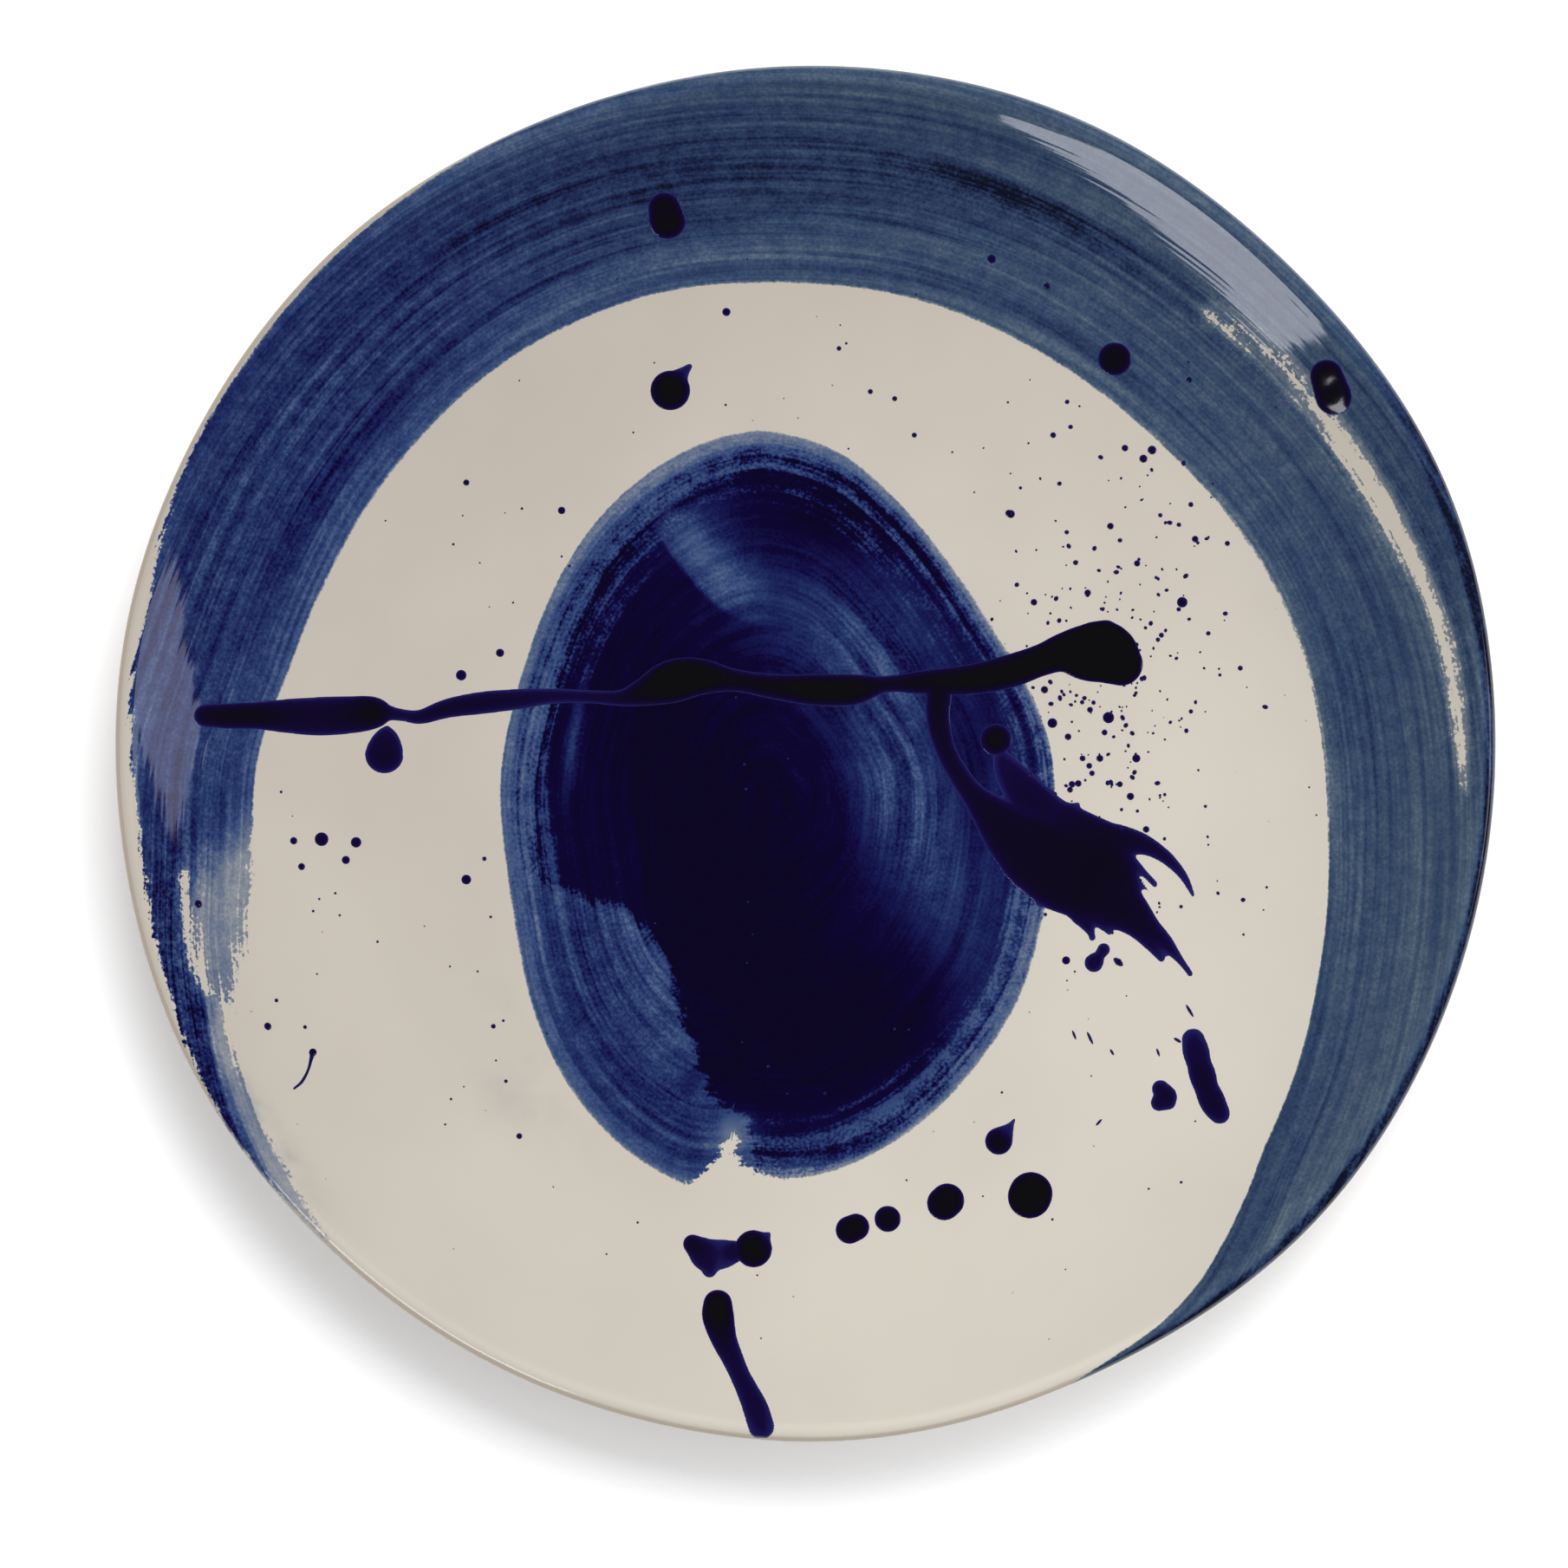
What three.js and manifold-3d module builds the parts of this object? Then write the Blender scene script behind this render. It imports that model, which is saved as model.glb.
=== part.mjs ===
// Hand-formed stoneware serving plate, with the raised glaze that was poured and dripped on it.
// Millimetres, +Z up. The origin is the centre of the foot, on the surface that the plate stands on.

import * as THREE from 'three';
import { mergeVertices } from 'three/addons/utils/BufferGeometryUtils.js';
import Module from 'manifold-3d';

const wasm = await Module();
wasm.setup();

// ---- Driving dimensions ----

const PLATE_RADIUS = 175.3;        // mean outer radius of the lip
const FLAT_RADIUS = 118;           // the floor is flat out to here, then it sweeps up into the wall
const FOOT_HEIGHT = 6;
const FOOT_OUTER_RADIUS = 100;
const FOOT_INNER_RADIUS = 92;
const FOOT_CHAMFER = 1.2;
const FLOOR_THICKNESS = 6;         // clay under the eating surface
const LIP_THICKNESS = 4.8;         // clay at the rounded edge
const WALL_RISE = 23;              // from the floor to the inner edge of the lip
const WALL_CURVE = 1.9;            // exponent of the sweep: 1 is a cone, 2 is a parabola

const GLAZE_SEAT = 0.1;            // between the clay and its coat of glaze
const GLAZE_THICKNESS = 0.5;
const LIP_STATIONS = [85, 48, 12, 2, -26];   // degrees round the lip, from straight out
const FACE_GLAZE_END = 12;         // station where the coat on the face stops
const BACK_GLAZE_END = 2;          // station where the coat on the back stops
const FOOT_GLAZE_MARGIN = 0.5;     // wiped bare beside the foot ring, so the plate can't stick

const DEPOSIT_GAP = 0.3;           // between the coat of glaze and the raised glaze on it
const DEPOSIT_THICKNESS = 0.9;
const SPOT_THICKNESS = 0.5;

const RING_STEPS = 60;
const UPPER_WALL_STEPS = 7;
const LOWER_WALL_STEPS = 5;

// The lip isn't a true circle: [waves round the rim, size in mm, phase in degrees].
const RIM_RADIUS_WAVES = [[2, 0.2, 0], [6, 0.4, 120], [7, 0.3, 120], [10, 0.2, -100]];
const RIM_HEIGHT_WAVES = [[2, 0.7, 40], [3, 0.5, 170], [5, 0.35, 80]];

const FLOOR_TOP = FOOT_HEIGHT + FLOOR_THICKNESS;
const HALF_LIP = LIP_THICKNESS / 2;
const COAT = [GLAZE_SEAT, GLAZE_SEAT + GLAZE_THICKNESS];
const LIP_SLOPE = Math.atan((WALL_RISE * WALL_CURVE) / (PLATE_RADIUS - FLAT_RADIUS));
const LIP_INNER_RADIUS = PLATE_RADIUS - HALF_LIP * (1 + Math.sin(LIP_SLOPE));
const WALL_WIDTH = LIP_INNER_RADIUS - FLAT_RADIUS;

const radians = THREE.MathUtils.degToRad;

// ---- Finishes ----

const finish = (color, roughness) => new THREE.MeshStandardMaterial({ color, roughness, metalness: 0 });
const STONEWARE = finish(0xb9a88f, 0.9);
const CREAM_GLAZE = finish(0xd2ccc0, 0.2);
const COBALT_GLAZE = finish(0x14102e, 0.15);

// ---- The plate's section: points are [radius, height] ----

function wallPoint(share) {
  const slope = Math.atan(WALL_RISE * WALL_CURVE * share ** (WALL_CURVE - 1) / WALL_WIDTH);
  return { radius: FLAT_RADIUS + share * WALL_WIDTH, height: FLOOR_TOP + WALL_RISE * share ** WALL_CURVE, slope };
}

// A point that is moved square off the wall's upper side, by a distance that is negative into the clay.
function offWall(share, distance) {
  const { radius, height, slope } = wallPoint(share);
  return [radius - distance * Math.sin(slope), height + distance * Math.cos(slope)];
}

function upperSide(offset) {
  return Array.from({ length: UPPER_WALL_STEPS + 1 }, (_, i) => offWall(i / UPPER_WALL_STEPS, offset));
}

function lowerSide(offset) {
  return Array.from({ length: LOWER_WALL_STEPS + 1 }, (_, i) => {
    const share = i / LOWER_WALL_STEPS;
    return offWall(share, -THREE.MathUtils.lerp(FLOOR_THICKNESS, LIP_THICKNESS, share) - offset);
  });
}

// The rounded edge, from its top down: an arc about the middle of the wall's end.
function lipArc(offset, stations = LIP_STATIONS) {
  const [centreRadius, centreHeight] = offWall(1, -HALF_LIP);
  const reach = HALF_LIP + offset;
  return stations.map((degrees) => [
    centreRadius + reach * Math.cos(radians(degrees)),
    centreHeight + reach * Math.sin(radians(degrees)),
  ]);
}

// ---- Solids of revolution, then thrown off true at the rim ----

function waves(list, angle) {
  return list.reduce((sum, [count, size, phase]) => sum + size * Math.cos(count * angle - radians(phase)), 0);
}

function rimWeight(radius) {
  return THREE.MathUtils.smoothstep(radius, FLAT_RADIUS, PLATE_RADIUS);
}

function throwOffTrue(geometry) {
  const position = geometry.attributes.position;
  for (let i = 0; i < position.count; i += 1) {
    const x = position.getX(i);
    const y = position.getY(i);
    const radius = Math.hypot(x, y);
    const angle = Math.atan2(y, x);
    const weight = rimWeight(radius);
    const scale = 1 + weight * waves(RIM_RADIUS_WAVES, angle) / PLATE_RADIUS;
    position.setXYZ(i, x * scale, y * scale, position.getZ(i) + weight * waves(RIM_HEIGHT_WAVES, angle));
  }
  return geometry;
}

function turned(profile) {
  const points = profile.map(([radius, height]) => new THREE.Vector2(radius, height));
  return new THREE.LatheGeometry(points, RING_STEPS).rotateX(Math.PI / 2);
}

function clayBody() {
  return throwOffTrue(turned([
    [0, FOOT_HEIGHT],
    ...lowerSide(0),
    ...lipArc(0).reverse(),
    ...upperSide(0).reverse(),
    [0, FLOOR_TOP],
  ]));
}

function footRing() {
  return turned([
    [FOOT_INNER_RADIUS, FOOT_CHAMFER],
    [FOOT_INNER_RADIUS + FOOT_CHAMFER, 0],
    [FOOT_OUTER_RADIUS - FOOT_CHAMFER, 0],
    [FOOT_OUTER_RADIUS, FOOT_CHAMFER],
    [FOOT_OUTER_RADIUS, FOOT_HEIGHT],
    [FOOT_INNER_RADIUS, FOOT_HEIGHT],
    [FOOT_INNER_RADIUS, FOOT_CHAMFER],
  ]);
}

function faceGlaze() {
  const stations = LIP_STATIONS.filter((degrees) => degrees >= FACE_GLAZE_END);
  const line = (offset) => [[0, FLOOR_TOP + offset], ...upperSide(offset), ...lipArc(offset, stations)];
  const [seat, surface] = COAT.map(line);
  return throwOffTrue(turned([...seat, ...surface.reverse()]));
}

function backGlaze() {
  const stations = LIP_STATIONS.filter((degrees) => degrees <= BACK_GLAZE_END);
  const line = (offset) => [
    [FOOT_OUTER_RADIUS + FOOT_GLAZE_MARGIN, FOOT_HEIGHT - offset],
    ...lowerSide(offset),
    ...lipArc(offset, stations).reverse(),
  ];
  const [seat, surface] = COAT.map(line);
  return throwOffTrue(turned([...surface, ...seat.reverse(), surface[0]]));
}

function footWellGlaze() {
  const radius = FOOT_INNER_RADIUS - FOOT_GLAZE_MARGIN;
  const [top, bottom] = COAT.map((offset) => FOOT_HEIGHT - offset);
  return turned([[0, bottom], [radius, bottom], [radius, top], [0, top]]);
}

// ---- Raised glaze: flat outlines that are given a thickness and laid on the plate ----

// The height of the glazed surface over a point of the plan.
function surfaceHeight(x, y) {
  const angle = Math.atan2(y, x);
  const reach = Math.hypot(x, y);
  const weight = rimWeight(reach);
  const radius = reach / (1 + weight * waves(RIM_RADIUS_WAVES, angle) / PLATE_RADIUS);
  const share = Math.max(0, (radius - FLAT_RADIUS) / WALL_WIDTH);
  const { height, slope } = wallPoint(share);
  return height + COAT[1] / Math.cos(slope) + weight * waves(RIM_HEIGHT_WAVES, angle);
}

// The decoration is laid out on a drawing of the plate as it is seen from VIEW_DISTANCE away, at
// VIEW_ELEVATION above level. placed() follows the line of sight of a point of the drawing to the plate.
const VIEW_DISTANCE = 1328;
const VIEW_ELEVATION = THREE.MathUtils.degToRad(86);
const VIEW_AIM = [-5.7, -9.9, 37.2];
const DRAWING_SCALE = 1.0033;
const DRAWING_SHIFT = [-5.41, -7.73];

function placed(x, y) {
  const right = (x - DRAWING_SHIFT[0]) / (VIEW_DISTANCE * DRAWING_SCALE);
  const above = (y - DRAWING_SHIFT[1]) / (VIEW_DISTANCE * DRAWING_SCALE);
  const flat = Math.cos(VIEW_ELEVATION);
  const up = Math.sin(VIEW_ELEVATION);
  const eye = [VIEW_AIM[0], VIEW_AIM[1] - VIEW_DISTANCE * flat, VIEW_AIM[2] + VIEW_DISTANCE * up];
  const way = [right, above * up + flat, above * flat - up];
  let plan = [x, y];
  for (let pass = 0; pass < 5; pass += 1) {
    const reach = (surfaceHeight(...plan) - eye[2]) / way[2];
    plan = [eye[0] + reach * way[0], eye[1] + reach * way[1]];
  }
  return plan;
}

function layOnPlate(geometry) {
  const position = geometry.attributes.position;
  for (let i = 0; i < position.count; i += 1) {
    const [x, y] = placed(position.getX(i), position.getY(i));
    const height = surfaceHeight(x, y) + DEPOSIT_GAP;
    position.setXYZ(i, x, y, position.getZ(i) + height);
  }
  return geometry;
}

function raised(outline, thickness = DEPOSIT_THICKNESS) {
  const shape = new THREE.Shape(outline.map(([x, y]) => new THREE.Vector2(x, y)));
  return new THREE.ExtrudeGeometry(shape, { depth: thickness, bevelEnabled: false });
}

// A drop: an ellipse about [x, y], with one side pulled out to a point where tail is above 0.
function drop({ x, y, rx, ry = rx, turn = 0, tail = 0, steps = 18 }) {
  return Array.from({ length: steps }, (_, i) => {
    const angle = (i / steps) * 2 * Math.PI;
    const pull = 1 + tail * Math.max(0, Math.cos(angle)) ** 6;
    const along = rx * pull * Math.cos(angle);
    const across = ry * Math.sin(angle);
    const heading = radians(turn);
    return [
      x + along * Math.cos(heading) - across * Math.sin(heading),
      y + along * Math.sin(heading) + across * Math.cos(heading),
    ];
  });
}

// A stroke of poured glaze: its middle line is [x, y, half width], and both of its ends are round.
function stroke(line, pieces) {
  const curve = new THREE.CatmullRomCurve3(line.map((point) => new THREE.Vector3(...point)));
  const left = [];
  const right = [];
  for (let i = 0; i <= pieces; i += 1) {
    const point = curve.getPoint(i / pieces);
    const heading = curve.getTangent(i / pieces).setZ(0).normalize();
    left.push([point.x - heading.y * point.z, point.y + heading.x * point.z]);
    right.push([point.x + heading.y * point.z, point.y - heading.x * point.z]);
  }
  const roundEnd = (share, startTurn) => {
    const point = curve.getPoint(share);
    const heading = curve.getTangent(share);
    const start = Math.atan2(heading.y, heading.x) + radians(startTurn);
    return [1, 2, 3].map((i) => {
      const angle = start + (i / 4) * Math.PI;
      return [point.x + point.z * Math.cos(angle), point.y + point.z * Math.sin(angle)];
    });
  };
  return [...right, ...roundEnd(1, -90), ...left.reverse(), ...roundEnd(0, 90)];
}

function asManifold(geometry) {
  geometry.deleteAttribute('normal');
  geometry.deleteAttribute('uv');
  const welded = mergeVertices(geometry);
  return new wasm.Manifold(new wasm.Mesh({
    numProp: 3,
    vertProperties: welded.attributes.position.array,
    triVerts: new Uint32Array(welded.index.array),
  }));
}

// Strokes and drops that ran together into one body of glaze.
function runTogether(outlines) {
  const joined = outlines.map((outline) => asManifold(raised(outline))).reduce((sum, next) => sum.add(next));
  const mesh = joined.getMesh();
  const geometry = new THREE.BufferGeometry();
  geometry.setAttribute('position', new THREE.BufferAttribute(mesh.vertProperties, 3));
  geometry.setIndex(new THREE.BufferAttribute(mesh.triVerts, 1));
  return geometry;
}

// The long line that was poured across the plate from left to right, ending in a club.
const POURED_LINE = [
  [-153, 9.7, 3.2], [-140, 9.7, 3.5], [-124, 9.5, 5], [-113, 10.1, 4.4], [-106, 10.2, 1.7], [-98, 9.4, 1.9],
  [-82, 13, 2.9], [-64, 14.6, 2], [-48, 14.3, 2], [-34, 18.4, 5.3], [-18, 18.6, 3], [4, 16.3, 4],
  [21, 17.7, 2.2], [42, 18.8, 3.8], [58, 23, 4], [67, 25.6, 5.4], [74, 25.8, 8], [79, 24.2, 7],
];

// The splash that left the line and burst on the floor: a neck, a second arm, a palm and its fingers.
const SPLASH = [
  stroke([[34.5, 10.8, 3.3], [34.6, 5, 3], [36.5, 0, 2.8], [39.6, -6, 3], [45, -13, 4.4], [53, -20, 7]], 10),
  stroke([[51, -4, 2.2], [57, -8, 3], [64, -14, 4.5], [70, -19, 5]], 6),
  stroke([[55, -22, 7.5], [64, -27, 12.5], [74, -31, 12.5], [80, -35, 8]], 8),
  stroke([[76, -24, 7], [86, -24, 4.3], [93, -29, 2.4], [98.6, -35.9, 0.8]], 9),
  stroke([[80, -25, 4], [85.5, -30, 1.7], [88.9, -33.6, 1]], 5),
  stroke([[76, -36, 8], [84, -42, 5.6], [90, -48, 3.2], [98.2, -56.2, 0.9]], 9),
  stroke([[86, -45, 3], [91.3, -52.6, 1.2]], 3),
  stroke([[69, -38, 4], [73, -46.3, 1.4]], 3),
];

const CHAIN_TAIL = [[-125.5, -76.1, 1.1], [-126.8, -80, 0.5], [-129, -84, 0.45]];
const LOWER_DRIP = [[-22.2, -141, 4.3], [-21.6, -147, 3.9], [-17.4, -156, 2.9], [-14.6, -162.5, 3.1], [-12.6, -167, 3.5]];
const SIDE_BAR = [[99.3, -73, 3.6], [101, -80, 3.8], [104.5, -89.3, 3.5]];
const BOW_LEFT = [[-28.4, -125, 2.7], [-25, -127.8, 4.6], [-22.6, -128.5, 4]];
const SPLASH_BLOB = [[73.6, -53.3, 2.6], [76, -50, 1.9]];

const DROPS = {
  band_drop_top: { x: -35.4, y: 137.1, rx: 5.1, ry: 5.4 },
  band_drop_right: { x: 78.9, y: 100.6, rx: 4.5 },
  band_drop_far_right: { x: 133.9, y: 93.4, rx: 6, ry: 5, turn: 70 },
  upper_drop: { x: -33.8, y: 93.2, rx: 5.5, tail: 0.25, turn: 55 },
  teardrop: { x: -107.2, y: 0.6, rx: 5.4, tail: 0.25, turn: 85 },
  egg_drop: { x: 48.6, y: 3.6, rx: 4.3 },
  bow_right_drop: { x: -12.9, y: -126, rx: 5, ry: 4.9 },
  row_drop_1: { x: 12, y: -121, rx: 4.4, ry: 4 },
  row_drop_2: { x: 21, y: -118.6, rx: 3.6 },
  row_drop_3: { x: 35.8, y: -114.3, rx: 4.7 },
  row_drop_4: { x: 57.3, y: -112.6, rx: 5.9, ry: 6.1 },
  tailed_drop: { x: 49.6, y: -98.3, rx: 4, tail: 0.6, turn: 55 },
  side_drop: { x: 91.3, y: -87, rx: 3.4, ry: 4.1 },
};

// The larger spots of spatter: [x, y, radius].
const SPOTS = [
  [-20.1, 112.6, 1.1], [47.5, 126.1, 1.2], [-62.1, 62, 1], [-77.8, 25.7, 1.1], [-87.7, 20, 1.4],
  [52.4, 61.1, 1.1], [96.1, 38.6, 1.4], [-123.3, -21.8, 1.8], [-114.5, -22.6, 1.4], [-117.1, -27.1, 1.1],
  [-86.4, -32.1, 1.3], [77.3, 9.2, 1.5], [63, 7.8, 1.3], [84.4, -1.2, 1.1], [66.5, -52.7, 1.1],
];

// ---- The object ----

const plate = new THREE.Group();

function add(name, geometry, material) {
  const mesh = new THREE.Mesh(geometry, material);
  mesh.name = name;
  plate.add(mesh);
}

add('clay_body', clayBody(), STONEWARE);
add('foot_ring', footRing(), STONEWARE);
add('face_glaze', faceGlaze(), CREAM_GLAZE);
add('back_glaze', backGlaze(), CREAM_GLAZE);
add('foot_well_glaze', footWellGlaze(), CREAM_GLAZE);

add('poured_line', layOnPlate(raised(stroke(POURED_LINE, 40))), COBALT_GLAZE);
add('splash', layOnPlate(runTogether(SPLASH)), COBALT_GLAZE);
add('splash_blob', layOnPlate(raised(stroke(SPLASH_BLOB, 3))), COBALT_GLAZE);
add('side_bar', layOnPlate(raised(stroke(SIDE_BAR, 5))), COBALT_GLAZE);
add('bow_left_drop', layOnPlate(raised(stroke(BOW_LEFT, 4))), COBALT_GLAZE);
add('lower_drip', layOnPlate(raised(stroke(LOWER_DRIP, 7))), COBALT_GLAZE);
add('chain_drip', layOnPlate(raised(stroke(CHAIN_TAIL, 4), SPOT_THICKNESS)), COBALT_GLAZE);

for (const [name, shape] of Object.entries(DROPS)) {
  add(name, layOnPlate(raised(drop(shape))), COBALT_GLAZE);
}

SPOTS.forEach(([x, y, rx], i) => {
  const outline = drop({ x, y, rx, steps: 10 });
  add(`spot_${String(i + 1).padStart(2, '0')}`, layOnPlate(raised(outline, SPOT_THICKNESS)), COBALT_GLAZE);
});

export default plate;
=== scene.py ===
"""Hand-painted stoneware serving plate: the looks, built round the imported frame.

The plate is made in the order a potter makes it. The clay is formed and its foot is added, the ground
glaze goes on the back and the face, the band and the oval are brushed into the face, and last the thick
cobalt glaze is poured, dripped and spattered on top. Sizes in the classes are millimetres, and every
finished mesh is in metres.
"""

import logging
import math
import random
from dataclasses import dataclass, field
from enum import Enum

import bmesh
import bpy
import numpy as np
from mathutils import Matrix, Vector


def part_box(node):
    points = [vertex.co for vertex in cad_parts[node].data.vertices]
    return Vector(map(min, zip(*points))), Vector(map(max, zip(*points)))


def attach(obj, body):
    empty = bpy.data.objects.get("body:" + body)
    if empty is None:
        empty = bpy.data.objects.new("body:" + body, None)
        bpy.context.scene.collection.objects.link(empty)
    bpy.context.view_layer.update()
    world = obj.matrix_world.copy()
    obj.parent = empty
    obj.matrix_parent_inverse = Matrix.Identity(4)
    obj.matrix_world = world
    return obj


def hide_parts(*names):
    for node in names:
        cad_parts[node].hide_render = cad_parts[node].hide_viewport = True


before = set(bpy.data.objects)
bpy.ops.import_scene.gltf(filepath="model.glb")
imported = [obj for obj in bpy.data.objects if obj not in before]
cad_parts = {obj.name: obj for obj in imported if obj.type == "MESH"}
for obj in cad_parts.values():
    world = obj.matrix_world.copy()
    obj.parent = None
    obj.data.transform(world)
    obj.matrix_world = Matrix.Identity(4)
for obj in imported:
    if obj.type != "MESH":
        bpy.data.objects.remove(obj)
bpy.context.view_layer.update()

LOG = logging.getLogger("plate")
MM = 0.001
BODY = "root"
Points = tuple[tuple[float, ...], ...]


# ---------------------------------------------------------------- shared helpers


class Slot(Enum):
    """The slots for finishes."""

    STONEWARE = "stoneware"
    PAINTED_GLAZE = "painted_glaze"
    CREAM_GLAZE = "cream_glaze"
    COBALT_GLAZE = "cobalt_glaze"


def linear(hex_colour: str) -> tuple[float, float, float, float]:
    """Turns an sRGB hex colour into a linear colour.

    Args:
        hex_colour: Six hex digits, such as "d2ccc0".

    Returns:
        Linear red, green, blue and an alpha of 1.
    """
    parts = [int(hex_colour[i : i + 2], 16) / 255 for i in (0, 2, 4)]
    red, green, blue = (p / 12.92 if p <= 0.04045 else ((p + 0.055) / 1.055) ** 2.4 for p in parts)
    return red, green, blue, 1.0


def add_node(tree: bpy.types.NodeTree, kind: str, inputs: dict | None = None, **settings) -> bpy.types.Node:
    """Adds one node to a tree, with its settings and its inputs.

    Args:
        tree: The node tree.
        kind: The node's type name, without its ShaderNode prefix.
        inputs: Input name or index to a value, or to the output that feeds it.
        **settings: The node's own settings.

    Returns:
        The new node.
    """
    node = tree.nodes.new("ShaderNode" + kind)
    for name, value in settings.items():
        setattr(node, name, value)
    for key, value in (inputs or {}).items():
        if isinstance(value, bpy.types.NodeSocket):
            tree.links.new(value, node.inputs[key])
        else:
            node.inputs[key].default_value = value
    return node


def set_ramp(node: bpy.types.Node, stops: Points | tuple) -> None:
    """Gives a colour ramp its stops.

    Args:
        node: The ramp node.
        stops: Pairs of position and sRGB hex colour, in rising order.
    """
    elements = node.color_ramp.elements
    while len(elements) < len(stops):
        elements.new(1.0)
    for element, (position, colour) in zip(elements, stops):
        element.position = position
        element.color = linear(colour)


def smooth_step(value: np.ndarray, low: float, high: float) -> np.ndarray:
    """Rises smoothly from 0 at low to 1 at high."""
    share = np.clip((value - low) / (high - low), 0, 1)
    return share * share * (3 - 2 * share)


def smooth_path(points: Points, pieces: int = 8, closed: bool = False) -> np.ndarray:
    """Passes a Catmull-Rom curve through a few points of any dimension.

    Args:
        points: The points that the curve passes through.
        pieces: How many straight pieces stand for each span.
        closed: Whether the last point joins the first.

    Returns:
        The points along the curve, one row each.
    """
    rows = np.array(points, float)
    if closed:
        rows = np.vstack([rows[-1:], rows, rows[:2]])
    else:
        rows = np.vstack([2 * rows[0] - rows[1], rows, 2 * rows[-1] - rows[-2]])
    steps = np.linspace(0, 1, pieces, endpoint=False)[:, None]
    path = []
    for before, start, end, after in zip(rows, rows[1:], rows[2:], rows[3:]):
        path.append(
            start
            + 0.5 * steps * (end - before)
            + steps**2 * (before - 2.5 * start + 2 * end - 0.5 * after)
            + 0.5 * steps**3 * (3 * (start - end) + after - before)
        )
    if not closed:
        path.append(rows[-2:-1])
    return np.vstack(path)


def inside_distance(plan: np.ndarray, outline: np.ndarray) -> np.ndarray:
    """Measures how deep points lie inside a closed outline.

    Args:
        plan: Points to measure, one row of x and y each.
        outline: The outline's corners in order.

    Returns:
        The distance to the outline, above 0 inside and below 0 outside.
    """
    nearest = np.full(len(plan), np.inf)
    inside = np.zeros(len(plan), bool)
    for start, end in zip(outline, np.roll(outline, -1, axis=0)):
        edge = end - start
        offset = plan - start
        share = np.clip(offset @ edge / (edge @ edge), 0, 1)
        nearest = np.minimum(nearest, np.hypot(*(offset - share[:, None] * edge).T))
        crosses = (start[1] > plan[:, 1]) != (end[1] > plan[:, 1])
        if crosses.any():
            reach = start[0] + edge[0] * (plan[:, 1] - start[1]) / (edge[1] or 1)
            inside ^= crosses & (plan[:, 0] < reach)
    return np.where(inside, nearest, -nearest)


def run_distance(plan: np.ndarray, run: np.ndarray) -> tuple[np.ndarray, np.ndarray]:
    """Measures points against a run of glaze, whose width changes along its line.

    Args:
        plan: Points to measure, one row of x and y each.
        run: The run's line, one row of x, y, half width and height each.

    Returns:
        The distance inside the run's edge (below 0 outside), and the run's height at the nearest point.
    """
    best = np.full(len(plan), -np.inf)
    height = np.zeros(len(plan))
    spans = zip(run, run[1:]) if len(run) > 1 else [(run[0], run[0] + 1e-6)]
    for start, end in spans:
        edge = end[:2] - start[:2]
        offset = plan - start[:2]
        share = np.clip(offset @ edge / max(edge @ edge, 1e-9), 0, 1)
        away = np.hypot(*(offset - share[:, None] * edge).T)
        width, thick = (start[i] + share * (end[i] - start[i]) for i in (2, 3))
        closer = width - away > best
        best = np.where(closer, width - away, best)
        height = np.where(closer, thick, height)
    return best, height


def plan_of(mesh: bpy.types.Mesh) -> np.ndarray:
    """Reads a mesh's vertices.

    Args:
        mesh: The mesh, in metres.

    Returns:
        One row of x, y and z in millimetres each.
    """
    flat = np.zeros(len(mesh.vertices) * 3, np.float32)
    mesh.vertices.foreach_get("co", flat)
    return flat.reshape(-1, 3).astype(float) / MM


def put_attribute(mesh: bpy.types.Mesh, name: str, values: np.ndarray) -> None:
    """Stores a value for each vertex of a mesh, for its material to read.

    Args:
        mesh: The mesh.
        name: The attribute's name.
        values: One number, or one row of three, for each vertex.
    """
    vector = values.ndim == 2
    attribute = mesh.attributes.new(name, "FLOAT_VECTOR" if vector else "FLOAT", "POINT")
    attribute.data.foreach_set("vector" if vector else "value", values.astype(np.float32).ravel())


def finish_piece(
    name: str, work: bmesh.types.BMesh, nodes: tuple[str, ...], material: bpy.types.Material
) -> bpy.types.Object:
    """Turns a bmesh in millimetres into a dressed piece of the plate that stands for its CAD nodes.

    Args:
        name: The piece's name.
        work: The mesh, which is freed.
        nodes: The CAD nodes that the piece replaces.
        material: The piece's finish.

    Returns:
        The new object, at the origin.
    """
    bmesh.ops.scale(work, vec=(MM, MM, MM), verts=work.verts)
    mesh = bpy.data.meshes.new(name)
    work.to_mesh(mesh)
    work.free()
    mesh.shade_smooth()
    mesh.materials.append(material)
    piece = bpy.data.objects.new(name, mesh)
    bpy.context.scene.collection.objects.link(piece)
    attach(piece, BODY)
    if nodes:
        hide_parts(*nodes)
    LOG.info("%s: %d faces", name, len(mesh.polygons))
    return piece


# ---------------------------------------------------------------- finishes


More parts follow.
